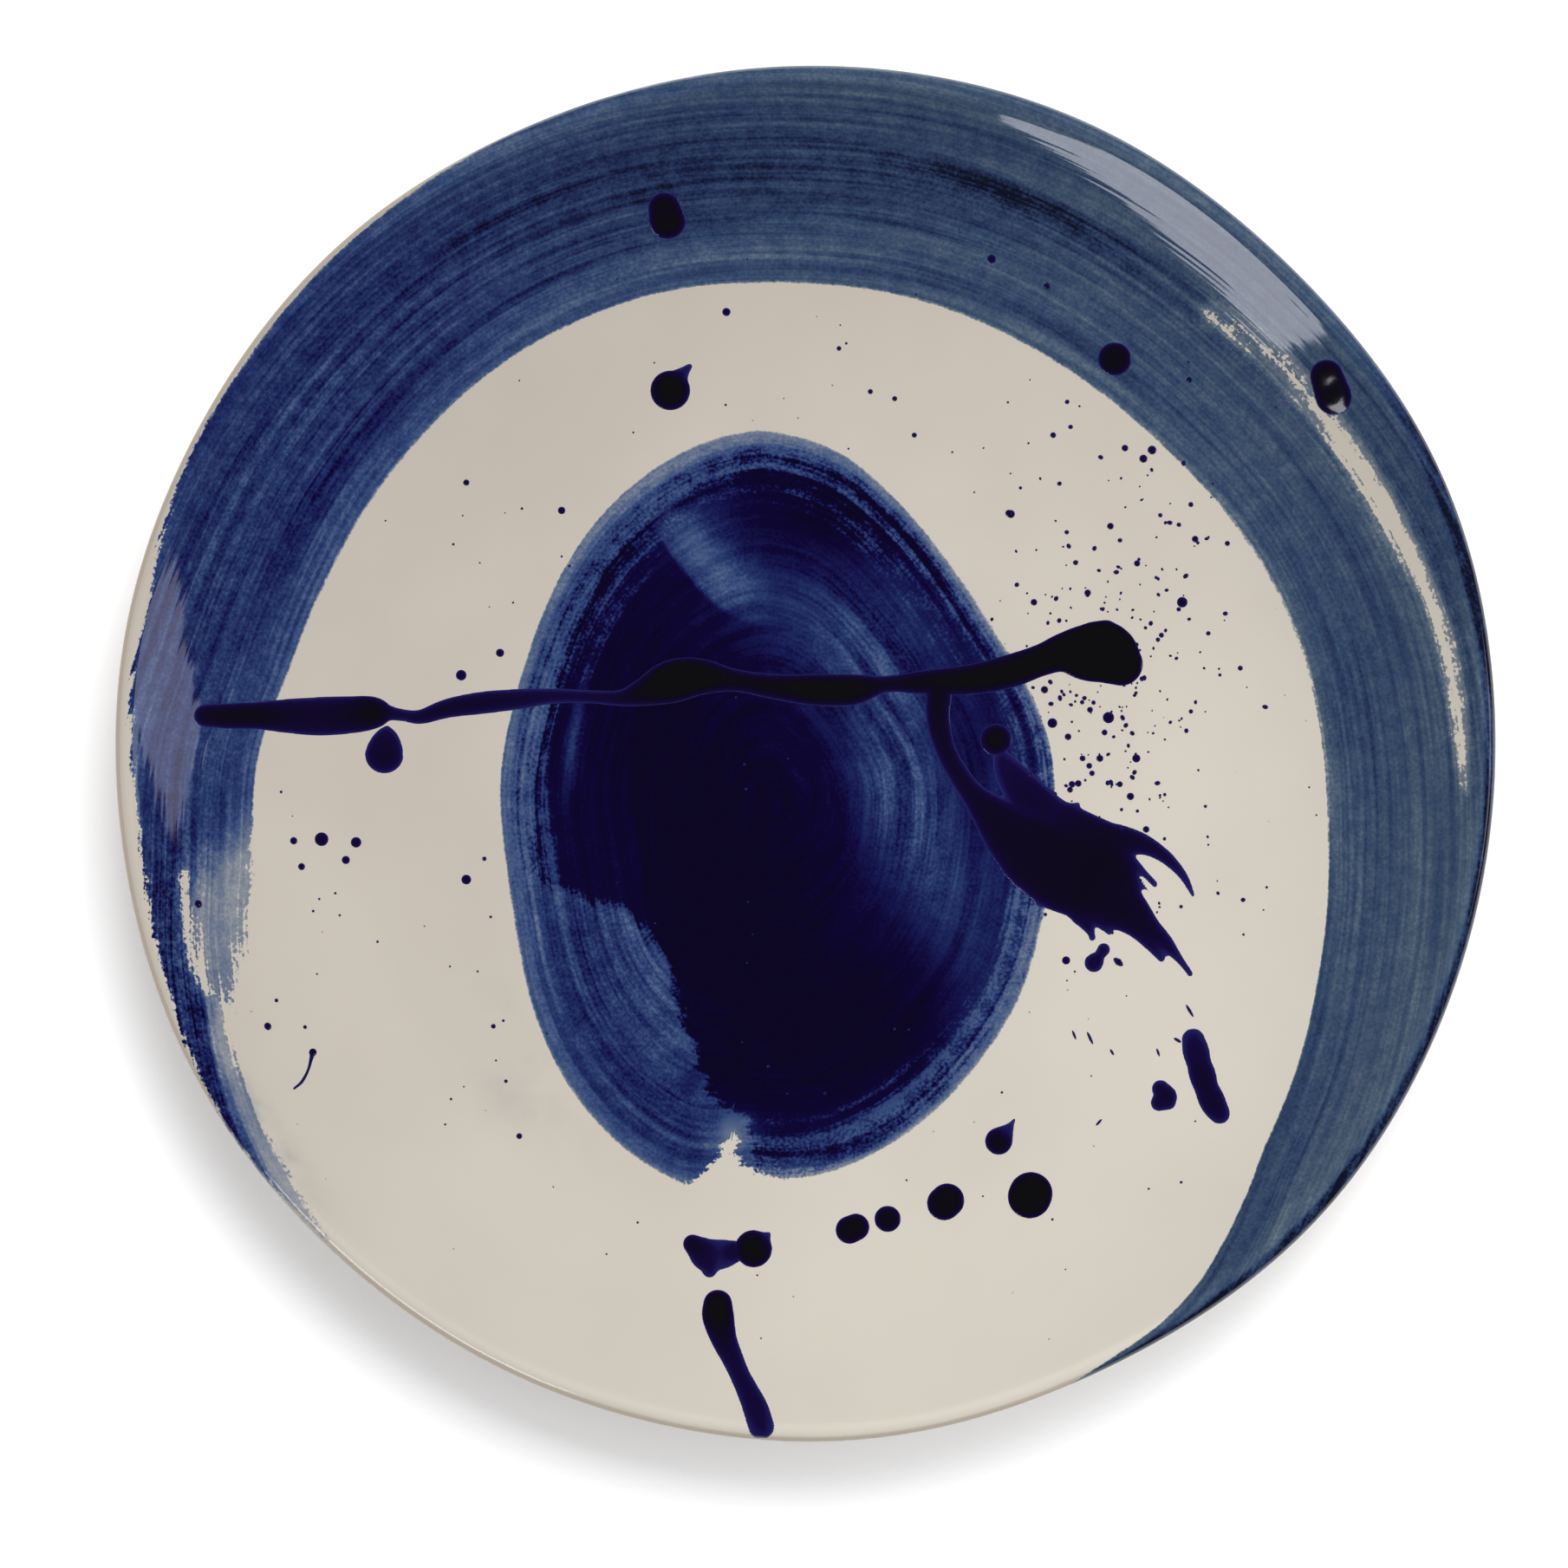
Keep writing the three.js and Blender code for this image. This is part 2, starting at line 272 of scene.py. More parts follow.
@dataclass(frozen=True)
class BareStoneware:
    """Buff stoneware, fired bare: matt, sandy to the touch and peppered with iron."""

    light: str = "c4b296"
    dark: str = "a08c6e"
    iron: str = "5a4330"
    grit_mm: float = 0.5
    blotch_mm: float = 14.0
    iron_mm: float = 3.5

    def make(self) -> bpy.types.Material:
        """Builds the material. Its grit gives the eye a dry, rough edge beside the gloss of the glaze.

        Returns:
            The new material.
        """
        material = bpy.data.materials.new("bare_fired_stoneware")
        material.use_nodes = True
        tree = material.node_tree
        shader = tree.nodes["Principled BSDF"]
        place = add_node(tree, "TexCoord").outputs["Object"]
        blotch = add_node(
            tree, "TexNoise", {"Vector": place, "Scale": 1 / (self.blotch_mm * MM), "Detail": 4.0}
        )
        grit = add_node(tree, "TexNoise", {"Vector": place, "Scale": 1 / (self.grit_mm * MM), "Detail": 3.0})
        iron = add_node(tree, "TexVoronoi", {"Vector": place, "Scale": 1 / (self.iron_mm * MM)})
        tone = add_node(tree, "ValToRGB", {"Fac": blotch.outputs["Fac"]})
        set_ramp(tone, ((0.35, self.dark), (0.65, self.light)))
        spot = add_node(
            tree,
            "MapRange",
            {
                "Value": iron.outputs["Distance"],
                "From Min": 0.06,
                "From Max": 0.12,
                "To Min": 0.8,
                "To Max": 0.0,
            },
        )
        mixed = add_node(
            tree,
            "MixRGB",
            {"Fac": spot.outputs[0], "Color1": tone.outputs["Color"], "Color2": linear(self.iron)},
        )
        bump = add_node(tree, "Bump", {"Height": grit.outputs["Fac"], "Distance": 0.15 * MM, "Strength": 0.6})
        tree.links.new(mixed.outputs["Color"], shader.inputs["Base Color"])
        tree.links.new(bump.outputs["Normal"], shader.inputs["Normal"])
        shader.inputs["Roughness"].default_value = 0.85
        return material


@dataclass(frozen=True)
class CreamGlaze:
    """Glossy cream ground glaze: warm, a little uneven, with pin-head iron specks burnt through it, and
    painted light that makes it lighter towards the lower right.
    """

    cream: str = "bbb5aa"
    # The darker end of the ramp: random clouding, and the painted shade towards the upper left.
    warm: str = "a0988e"
    iron: str = "6b5138"
    thin: str = "8b7a62"
    cloud_mm: float = 60.0
    # Painted light: a slope in object coordinates that makes the ground lighter towards the lower right.
    painted_light_slope: tuple[float, float, float] = (1.3, -2.1, 0.0)
    speck_mm: float = 9.0
    peel_mm: float = 14.0

    def make(self, name: str = "cream_stoneware_glaze") -> bpy.types.Material:
        """Builds the material. Soft clouding and specks keep the broad cream field from looking printed.

        Args:
            name: The material's name.

        Returns:
            The new material.
        """
        material = bpy.data.materials.new(name)
        material.use_nodes = True
        tree = material.node_tree
        shader = tree.nodes["Principled BSDF"]
        place = add_node(tree, "TexCoord").outputs["Object"]
        ground = self.ground(tree, place)
        peel = add_node(tree, "TexNoise", {"Vector": place, "Scale": 1 / (self.peel_mm * MM), "Detail": 1.0})
        bump = add_node(tree, "Bump", {"Height": peel.outputs["Fac"], "Distance": 0.12 * MM, "Strength": 0.5})
        tree.links.new(ground, shader.inputs["Base Color"])
        tree.links.new(bump.outputs["Normal"], shader.inputs["Normal"])
        shader.inputs["Roughness"].default_value = 0.08
        shader.inputs["IOR"].default_value = 1.52
        return material

    def ground(self, tree: bpy.types.NodeTree, place: bpy.types.NodeSocket) -> bpy.types.NodeSocket:
        """Adds the nodes of the cream ground, with its painted light slope, to a tree.

        Args:
            tree: The material's tree.
            place: Object coordinates.

        Returns:
            The colour output.
        """
        cloud = add_node(
            tree, "TexNoise", {"Vector": place, "Scale": 1 / (self.cloud_mm * MM), "Detail": 3.0}
        )
        # Painted light: lighter towards the lower right, darker towards the upper left.
        painted_light_slope = add_node(
            tree, "VectorMath", {0: place, 1: self.painted_light_slope}, operation="DOT_PRODUCT"
        ).outputs["Value"]
        cloudy = add_node(tree, "Math", {0: cloud.outputs["Fac"], 1: 0.5, 2: 0.25}, operation="MULTIPLY_ADD")
        share = add_node(tree, "Math", {0: cloudy.outputs[0], 1: painted_light_slope}, operation="ADD")
        tone = add_node(tree, "ValToRGB", {"Fac": share.outputs[0]})
        set_ramp(tone, ((0.0, self.warm), (1.0, self.cream)))
        cells = add_node(
            tree, "TexVoronoi", {"Vector": place, "Scale": 1 / (self.speck_mm * MM), "Randomness": 1.0}
        )
        spot = add_node(
            tree,
            "MapRange",
            {
                "Value": cells.outputs["Distance"],
                "From Min": 0.018,
                "From Max": 0.034,
                "To Min": 0.75,
                "To Max": 0.0,
            },
        )
        specked = add_node(
            tree,
            "MixRGB",
            {"Fac": spot.outputs[0], "Color1": tone.outputs["Color"], "Color2": linear(self.iron)},
        )
        thinned = add_node(tree, "Attribute", attribute_name="glaze_thin").outputs["Fac"]
        return add_node(
            tree, "MixRGB", {"Fac": thinned, "Color1": specked.outputs["Color"], "Color2": linear(self.thin)}
        ).outputs["Color"]


@dataclass(frozen=True)
class BrushedCobalt:
    """Cobalt slip brushed under a clear gloss: the thicker it lies, the darker and more violet it fires.

    The brushwork is read from the mesh: brush_lay holds the place along and across the stroke and the
    distance inside the painted area, brush_load holds how much slip lies there (with painted shade added
    along the lip on the right) and where the second coat covers the first, and brush_dry holds how broken
    the edges and the streaks are.
    """

    royal: tuple = (
        (0, "a8a298"),
        (0.06, "818388"),
        (0.18, "5f6879"),
        (0.32, "404f6d"),
        (0.46, "2b3d65"),
        (0.58, "1e2d57"),
        (0.7, "15204d"),
        (0.82, "0d0f40"),
        (0.92, "060029"),
        (1.0, "04001a"),
    )
    slate: tuple = (
        (0, "a8a298"),
        (0.06, "7f8183"),
        (0.18, "5e6772"),
        (0.32, "455465"),
        (0.46, "35455a"),
        (0.58, "293b55"),
        (0.7, "22304d"),
        (0.82, "18233f"),
        (0.92, "111931"),
        (1.0, "080c1f"),
    )
    sweep_mm: tuple = (170.0, 8.0)
    bristle_mm: tuple = (110.0, 2.6)
    hair_mm: tuple = (60.0, 1.0)
    chatter_mm: float = 4.5
    grain_mm: float = 0.9
    ground: CreamGlaze = field(default_factory=CreamGlaze)

    def make(self, name: str = "brushed_cobalt_under_clear_glaze") -> bpy.types.Material:
        """Builds the material. Streaks that follow the stroke and its broken ends are what say "brushed".

        Args:
            name: The material's name.

        Returns:
            The new material.
        """
        material = bpy.data.materials.new(name)
        material.use_nodes = True
        tree = material.node_tree
        shader = tree.nodes["Principled BSDF"]
        place = add_node(tree, "TexCoord").outputs["Object"]
        lay = add_node(tree, "Attribute", attribute_name="brush_lay").outputs["Vector"]
        streaks, bristles = self.streaks(tree, lay)
        slip = self.slip(tree, place, lay, streaks)
        royal = add_node(tree, "ValToRGB", {"Fac": slip})
        set_ramp(royal, self.royal)
        slate = add_node(tree, "ValToRGB", {"Fac": slip})
        set_ramp(slate, self.slate)
        shade = add_node(tree, "Attribute", attribute_name="brush_slate").outputs["Fac"]
        cobalt = add_node(
            tree, "MixRGB", {"Fac": shade, "Color1": royal.outputs["Color"], "Color2": slate.outputs["Color"]}
        )
        covered = add_node(tree, "MapRange", {"Value": slip, "From Min": 0.0, "From Max": 0.07})
        colour = add_node(
            tree,
            "MixRGB",
            {
                "Fac": covered.outputs[0],
                "Color1": self.ground.ground(tree, place),
                "Color2": cobalt.outputs["Color"],
            },
        )
        peel = add_node(
            tree, "TexNoise", {"Vector": place, "Scale": 1 / (self.ground.peel_mm * MM), "Detail": 1.0}
        )
        waves = add_node(
            tree, "Bump", {"Height": peel.outputs["Fac"], "Distance": 0.12 * MM, "Strength": 0.5}
        )
        dry_vector = add_node(tree, "Attribute", attribute_name="brush_dry").outputs["Vector"]
        broken = add_node(tree, "SeparateXYZ", {0: dry_vector}).outputs["Z"]
        combed = add_node(tree, "Math", {0: bristles, 1: broken}, operation="MULTIPLY")
        raised = add_node(tree, "Math", {0: combed.outputs[0], 1: covered.outputs[0]}, operation="MULTIPLY")
        ridges = add_node(
            tree,
            "Bump",
            {
                "Height": raised.outputs[0],
                "Distance": 0.045 * MM,
                "Strength": 1.0,
                "Normal": waves.outputs["Normal"],
            },
        )
        tree.links.new(colour.outputs["Color"], shader.inputs["Base Color"])
        tree.links.new(ridges.outputs["Normal"], shader.inputs["Normal"])
        shader.inputs["Roughness"].default_value = 0.05
        shader.inputs["IOR"].default_value = 1.52
        return material

    def streaks(
        self, tree: bpy.types.NodeTree, lay: bpy.types.NodeSocket
    ) -> tuple[bpy.types.NodeSocket, bpy.types.NodeSocket]:
        """Adds three sizes of streak along the stroke, as the sweep, the bristles and the hairs leave.

        Args:
            tree: The material's tree.
            lay: Place along and across the stroke, in mm.

        Returns:
            The streaks' output, about 0 on average and from about -1 to 1, and the bristles' part of it.
        """
        parts = []
        for (along, across), share in ((self.sweep_mm, 0.4), (self.bristle_mm, 0.42), (self.hair_mm, 0.3)):
            stretched = add_node(
                tree, "Mapping", {"Vector": lay, "Scale": (1 / along, 1 / across, 0.0)}, vector_type="POINT"
            )
            noise = add_node(tree, "TexNoise", {"Vector": stretched.outputs[0], "Scale": 1.0, "Detail": 2.0})
            parts.append(self.evened(tree, noise.outputs["Fac"], 0.14, share))
        total = add_node(tree, "Math", {0: parts[0], 1: parts[1]}, operation="ADD").outputs[0]
        return add_node(tree, "Math", {0: total, 1: parts[2]}, operation="ADD").outputs[0], parts[1]

    @staticmethod
    def evened(
        tree: bpy.types.NodeTree, noise: bpy.types.NodeSocket, width: float, share: float
    ) -> bpy.types.NodeSocket:
        """Stretches a noise that lies within 0.5 +- width so that it reaches from -share to share."""
        return add_node(
            tree,
            "MapRange",
            {
                "Value": noise,
                "From Min": 0.5 - width,
                "From Max": 0.5 + width,
                "To Min": -share,
                "To Max": share,
            },
            interpolation_type="SMOOTHSTEP",
        ).outputs[0]

    def slip(
        self,
        tree: bpy.types.NodeTree,
        place: bpy.types.NodeSocket,
        lay: bpy.types.NodeSocket,
        streaks: bpy.types.NodeSocket,
    ) -> bpy.types.NodeSocket:
        """Adds up how thick the slip lies, from bare at 0 to nearly black at 1.

        Args:
            tree: The material's tree.
            place: Object coordinates.
            lay: Along, across and inside distance of the stroke, in mm.
            streaks: The streaks' output.

        Returns:
            The slip's thickness.
        """
        inside = add_node(tree, "SeparateXYZ", {0: lay}).outputs["Z"]
        load_vector = add_node(tree, "Attribute", attribute_name="brush_load").outputs["Vector"]
        load = add_node(tree, "SeparateXYZ", {0: load_vector}).outputs
        dry_vector = add_node(tree, "Attribute", attribute_name="brush_dry").outputs["Vector"]
        dry = add_node(tree, "SeparateXYZ", {0: dry_vector}).outputs
        haze = add_node(tree, "Attribute", attribute_name="brush_haze").outputs["Fac"]

        chatter = add_node(
            tree, "TexNoise", {"Vector": place, "Scale": 1 / (self.chatter_mm * MM), "Detail": 2.0}
        )
        grain = add_node(
            tree, "TexNoise", {"Vector": place, "Scale": 1 / (self.grain_mm * MM), "Detail": 2.0}
        )
        patches = self.evened(tree, chatter.outputs["Fac"], 0.16, 0.24)
        grains = self.evened(tree, grain.outputs["Fac"], 0.2, 0.38)
        patchy = add_node(tree, "Math", {0: patches, 1: grains}, operation="ADD").outputs[0]
        rough = add_node(tree, "Math", {0: streaks, 1: patchy}, operation="ADD").outputs[0]
        first_edge = add_node(tree, "Math", {0: rough, 1: dry["X"], 2: inside}, operation="MULTIPLY_ADD")
        first = add_node(
            tree,
            "MapRange",
            {"Value": first_edge.outputs[0], "From Min": -0.35, "From Max": 0.45},
            interpolation_type="SMOOTHSTEP",
        )
        second_edge = add_node(tree, "Math", {0: rough, 1: dry["Y"], 2: load["Y"]}, operation="MULTIPLY_ADD")
        second = add_node(
            tree,
            "MapRange",
            {"Value": second_edge.outputs[0], "From Min": -0.8, "From Max": 1.0},
            interpolation_type="SMOOTHSTEP",
        )
        uneven = add_node(tree, "Math", {0: rough, 1: dry["Z"]}, operation="MULTIPLY")
        spread = add_node(
            tree, "Math", {0: uneven.outputs[0], 1: load["X"], 2: load["X"]}, operation="MULTIPLY_ADD"
        )
        wash = add_node(tree, "Math", {0: spread.outputs[0], 1: first.outputs[0]}, operation="MULTIPLY")
        covered = add_node(tree, "Math", {0: first.outputs[0], 1: second.outputs[0]}, operation="MULTIPLY")
        both = add_node(
            tree, "Math", {0: covered.outputs[0], 1: load["Z"], 2: wash.outputs[0]}, operation="MULTIPLY_ADD"
        )
        cloud = add_node(tree, "TexNoise", {"Vector": place, "Scale": 1 / (16 * MM), "Detail": 5.0})
        wisp = add_node(
            tree,
            "MapRange",
            {"Value": cloud.outputs["Fac"], "From Min": 0.3, "From Max": 0.75, "To Max": 1.5},
        )
        return add_node(
            tree, "Math", {0: wisp.outputs[0], 1: haze, 2: both.outputs[0]}, operation="MULTIPLY_ADD"
        ).outputs[0]


@dataclass(frozen=True)
class PooledCobalt:
    """Cobalt glaze poured thick: black where it pools, ink blue where it thins, with a wet gloss."""

    tones: tuple = (
        (0.0, "282f5f"),
        (0.1, "16134a"),
        (0.26, "0b022f"),
        (0.46, "08011f"),
        (0.66, "060212"),
        (0.85, "060508"),
    )
    peel_mm: float = 2.5

    def make(self) -> bpy.types.Material:
        """Builds the material. The colour follows the pool's depth, so each edge and thin run glows blue.

        Returns:
            The new material.
        """
        material = bpy.data.materials.new("poured_cobalt_glaze")
        material.use_nodes = True
        tree = material.node_tree
        shader = tree.nodes["Principled BSDF"]
        place = add_node(tree, "TexCoord").outputs["Object"]
        depth = add_node(tree, "Attribute", attribute_name="pool_depth").outputs["Fac"]
        tone = add_node(tree, "ValToRGB", {"Fac": depth})
        set_ramp(tone, self.tones)
        peel = add_node(tree, "TexNoise", {"Vector": place, "Scale": 1 / (self.peel_mm * MM), "Detail": 2.0})
        bump = add_node(tree, "Bump", {"Height": peel.outputs["Fac"], "Distance": 0.06 * MM, "Strength": 0.4})
        tree.links.new(tone.outputs["Color"], shader.inputs["Base Color"])
        tree.links.new(bump.outputs["Normal"], shader.inputs["Normal"])
        shader.inputs["Roughness"].default_value = 0.09
        shader.inputs["IOR"].default_value = 1.54
        return material


# ---------------------------------------------------------------- the plate's form


@dataclass
class PlateForm:
    """The plate's section and its hand-formed unevenness, as the CAD pieces have them."""

    flat_radius: float = 118.0
    floor_thickness: float = 6.0
    lip_thickness: float = 4.8
    wall_rise: float = 23.0
    wall_curve: float = 1.9
    mean_radius: float = 175.3
    glaze_thickness: float = 0.6
    radius_waves: Points = ((2, 0.2, 0), (6, 0.4, 120), (7, 0.3, 120), (10, 0.2, -100))
    height_waves: Points = ((2, 0.7, 40), (3, 0.5, 170), (5, 0.35, 80))

    def __post_init__(self) -> None:
        """Works out the rest from the frame's own boxes."""
        self.foot_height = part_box("clay_body")[0].z / MM
        self.foot_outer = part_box("foot_ring")[1].x / MM
        self.foot_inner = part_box("foot_well_glaze")[1].x / MM + 0.5
        self.floor_top = self.foot_height + self.floor_thickness
        lip_slope = math.atan(self.wall_rise * self.wall_curve / (self.mean_radius - self.flat_radius))
        self.inner_lip = self.mean_radius - self.lip_thickness / 2 * (1 + math.sin(lip_slope))
        self.wall_width = self.inner_lip - self.flat_radius

    def wall_slope(self, share: float) -> float:
        """Gives the wall's slope in radians, at a share of its width from the floor to the lip."""
        return math.atan(self.wall_rise * self.wall_curve * share ** (self.wall_curve - 1) / self.wall_width)

    def off_wall(self, share: float, distance: float) -> tuple[float, float]:
        """Moves a point square off the wall's upper side.

        Args:
            share: How far across the wall the point is, from 0 to 1.
            distance: How far to move it, below 0 into the clay.

        Returns:
            The point's radius and height.
        """
        slope = self.wall_slope(share)
        height = self.floor_top + self.wall_rise * share**self.wall_curve
        radius = self.flat_radius + share * self.wall_width
        return radius - distance * math.sin(slope), height + distance * math.cos(slope)

    def upper_side(self, offset: float, rows: int) -> list[tuple[float, float]]:
        """Lists points up the wall's upper side, at an offset from the clay."""
        return [self.off_wall(i / rows, offset) for i in range(rows + 1)]

    def lower_side(self, offset: float, rows: int) -> list[tuple[float, float]]:
        """Lists points up the wall's underside.

        Args:
            offset: How far off the clay they lie.
            rows: How many steps there are.

        Returns:
            The radius and height of each point.
        """
        thins = self.lip_thickness - self.floor_thickness
        shares = [i / rows for i in range(rows + 1)]
        return [self.off_wall(s, -(self.floor_thickness + s * thins) - offset) for s in shares]

    def lip(self, offset: float, start: float, end: float, rows: int) -> list[tuple[float, float]]:
        """Lists points round the lip, without the first.

        Args:
            offset: How far off the clay they lie.
            start: Where the round starts, in degrees from straight out.
            end: Where it ends, in the same way.
            rows: How many steps there are.

        Returns:
            The radius and height of each point.
        """
        radius, height = self.off_wall(1, -self.lip_thickness / 2)
        reach = self.lip_thickness / 2 + offset
        angles = [math.radians(start + (end - start) * (i + 1) / rows) for i in range(rows)]
        return [(radius + reach * math.cos(a), height + reach * math.sin(a)) for a in angles]

    @property
    def lip_top_angle(self) -> float:
        """The angle at which the lip's round meets the wall's upper side, in degrees."""
        return 90 + math.degrees(self.wall_slope(1))

    def rim_weight(self, radius: np.ndarray) -> np.ndarray:
        """Gives how much of the rim's unevenness reaches a radius."""
        return smooth_step(radius, self.flat_radius, self.mean_radius)

    def waves(self, table: Points, angle: np.ndarray) -> np.ndarray:
        """Adds up the waves round the rim at each angle."""
        return sum(size * np.cos(count * angle - math.radians(phase)) for count, size, phase in table)

    def throw_off_true(self, work: bmesh.types.BMesh) -> None:
        """Pushes a turned mesh out of round at the rim, as hands leave it.

        Args:
            work: The mesh, changed in place.
        """
        rows = np.array([v.co for v in work.verts])
        radius = np.hypot(rows[:, 0], rows[:, 1])
        angle = np.arctan2(rows[:, 1], rows[:, 0])
        weight = self.rim_weight(radius)
        rows[:, :2] *= (1 + weight * self.waves(self.radius_waves, angle) / self.mean_radius)[:, None]
        rows[:, 2] += weight * self.waves(self.height_waves, angle)
        for vertex, row in zip(work.verts, rows):
            vertex.co = row

    def surface_height(self, plan: np.ndarray) -> np.ndarray:
        """Gives the height of the glazed face over points of the plan.

        Args:
            plan: One row of x and y each.

        Returns:
            The heights.
        """
        reach = np.hypot(plan[:, 0], plan[:, 1])
        angle = np.arctan2(plan[:, 1], plan[:, 0])
        weight = self.rim_weight(reach)
        radius = reach / (1 + weight * self.waves(self.radius_waves, angle) / self.mean_radius)
        share = np.clip((radius - self.flat_radius) / self.wall_width, 0, 1)
        slope = np.arctan(self.wall_rise * self.wall_curve * share ** (self.wall_curve - 1) / self.wall_width)
        height = (
            self.floor_top + self.wall_rise * share**self.wall_curve + self.glaze_thickness / np.cos(slope)
        )
        lip_radius, lip_height = self.off_wall(1, -self.lip_thickness / 2)
        round_reach = self.lip_thickness / 2 + self.glaze_thickness
        over = np.sqrt(np.clip(round_reach**2 - (radius - lip_radius) ** 2, 0, None))
        height = np.where(radius > self.inner_lip, lip_height + over, height)
        return height + weight * self.waves(self.height_waves, angle)

    def turn(self, profile: list[tuple[float, float]], steps: int, loop: bool) -> bmesh.types.BMesh:
        """Spins a section about the plate's axis.

        Args:
            profile: Radius and height of each corner.
            steps: How many steps the full turn takes, a multiple of 16.
            loop: Whether the section closes on itself; otherwise it starts and ends on the axis.

        Returns:
            The turned mesh, thrown off true at the rim.
        """
        work = bmesh.new()
        verts = [work.verts.new((radius, 0, height)) for radius, height in profile]
        pairs = list(zip(verts, verts[1:])) + ([(verts[-1], verts[0])] if loop else [])
        edges = [work.edges.new(pair) for pair in pairs]
        sector = 2 * math.pi / 16
        bmesh.ops.spin(
            work,
            geom=verts + edges,
            cent=(0, 0, 0),
            axis=(0, 0, 1),
            angle=sector,
            steps=steps // 16,
            use_merge=False,
        )
        for doubling in (1, 2, 4, 8):
            whole = work.verts[:] + work.edges[:] + work.faces[:]
            copy = bmesh.ops.duplicate(work, geom=whole)["geom"]
            moved = [item for item in copy if isinstance(item, bmesh.types.BMVert)]
            turn = Matrix.Rotation(sector * doubling, 3, "Z")
            bmesh.ops.rotate(work, cent=(0, 0, 0), matrix=turn, verts=moved)
        bmesh.ops.remove_doubles(work, verts=work.verts, dist=1e-4)
        bmesh.ops.recalc_face_normals(work, faces=work.faces)
        self.throw_off_true(work)
        return work


@dataclass(frozen=True)
class Viewpoint:
    """The place the plate is looked at from. The decoration is drawn as it is seen from there."""

    distance: float = 1328.0
    elevation: float = 86.0
    aim: tuple[float, float, float] = (-5.7, -9.9, 37.2)
    drawing_scale: float = 1.0033
    drawing_shift: tuple[float, float] = (-5.41, -7.73)

    @property
    def rise(self) -> tuple[float, float]:
        """The cosine and the sine of the elevation."""
        up = math.radians(self.elevation)
        return math.cos(up), math.sin(up)

    @property
    def eye(self) -> np.ndarray:
        """The viewpoint itself, in millimetres."""
        flat, up = self.rise
        return np.array(self.aim) + self.distance * np.array([0, -flat, up])

    def seen(self, rows: np.ndarray) -> np.ndarray:
        """Finds where points of the plate fall on the drawing.

        Args:
            rows: One row of x, y and z each.

        Returns:
            One row of x and y on the drawing each.
        """
        flat, up = self.rise
        away = rows - self.eye
        depth = (away[:, 1] * flat - away[:, 2] * up) / (self.distance * self.drawing_scale)
        right = away[:, 0] / depth + self.drawing_shift[0]
        above = (away[:, 1] * up + away[:, 2] * flat) / depth + self.drawing_shift[1]
        return np.column_stack([right, above])

    def placed(self, drawn: np.ndarray, form: PlateForm) -> np.ndarray:
        """Finds where points of the drawing lie on the plate's face, in plan.

        Args:
            drawn: One row of x and y on the drawing each.
            form: The plate.

        Returns:
            One row of x and y each.
        """
        flat, up = self.rise
        eye = self.eye
        right, above = ((drawn - self.drawing_shift) / (self.distance * self.drawing_scale)).T
        way = np.column_stack([right, above * up + flat, above * flat - up])
        plan = drawn.copy()
        for _ in range(5):
            reach = (form.surface_height(plan) - eye[2]) / way[:, 2]
            plan = eye[:2] + reach[:, None] * way[:, :2]
        return plan


VIEW = Viewpoint()


@dataclass
class PlateBlank:
    """The clay body, its foot ring and the coats of ground glaze."""

    form: PlateForm
    turn_steps: int = 192
    wall_rows: int = 30
    lip_rows: int = 8
    glaze_meeting: float = 7.0
    foot_chamfer: float = 1.2

    def make_clay(self, material: bpy.types.Material) -> None:
        """Builds the clay body and the foot ring.

        Args:
            material: The bare clay.
        """
        form = self.form
        top = form.lip_top_angle
        profile = [
            (0, form.foot_height),
            *form.lower_side(0, self.wall_rows),
            *form.lip(0, top - 180, top, self.lip_rows),
            *form.upper_side(0, self.wall_rows)[-2::-1],
            (0, form.floor_top),
        ]
        work = form.turn(profile, self.turn_steps, loop=False)
        finish_piece("clay_body_formed", work, ("clay_body",), material)
        inner, outer, chamfer = form.foot_inner, form.foot_outer, self.foot_chamfer
        ring = [
            (inner, chamfer),
            (inner + 0.35 * chamfer, 0.35 * chamfer),
            (inner + chamfer, 0),
            (outer - chamfer, 0),
            (outer - 0.35 * chamfer, 0.35 * chamfer),
            (outer, chamfer),
            (outer, form.foot_height),
            (inner, form.foot_height),
        ]
        work = form.turn(ring, self.turn_steps, loop=True)
        finish_piece("foot_ring_turned", work, ("foot_ring",), material)

    def make_back(self, material: bpy.types.Material, painted: bpy.types.Material) -> bpy.types.Object:
        """Builds the coats of glaze on the back and inside the foot ring.

        Args:
            material: The plain glaze of the foot's well.
            painted: The glaze of the back, which takes the paint that ran over the lip.

        Returns:
            The back's coat.
        """
        form = self.form
        bottom = form.lip_top_angle - 180
        thick = form.glaze_thickness
        line = [
            [
                (form.foot_outer + 0.5, form.foot_height - offset),
                *form.lower_side(offset, self.wall_rows),
                *form.lip(offset, bottom, self.glaze_meeting, self.lip_rows),
            ]
            for offset in (0.02, thick)
        ]
        work = form.turn([*line[1], *line[0][::-1]], self.turn_steps, loop=True)
        back = finish_piece("back_glaze_coat", work, ("back_glaze",), painted)
        radius = form.foot_inner - 0.5
        low, high = form.foot_height - thick, form.foot_height - 0.02
        work = form.turn(
            [(0, low), (radius - 0.6, low), (radius, low + 0.4), (radius, high), (0, high)],
            self.turn_steps,
            loop=False,
        )
        finish_piece("foot_well_coat", work, ("foot_well_glaze",), material)
        return back


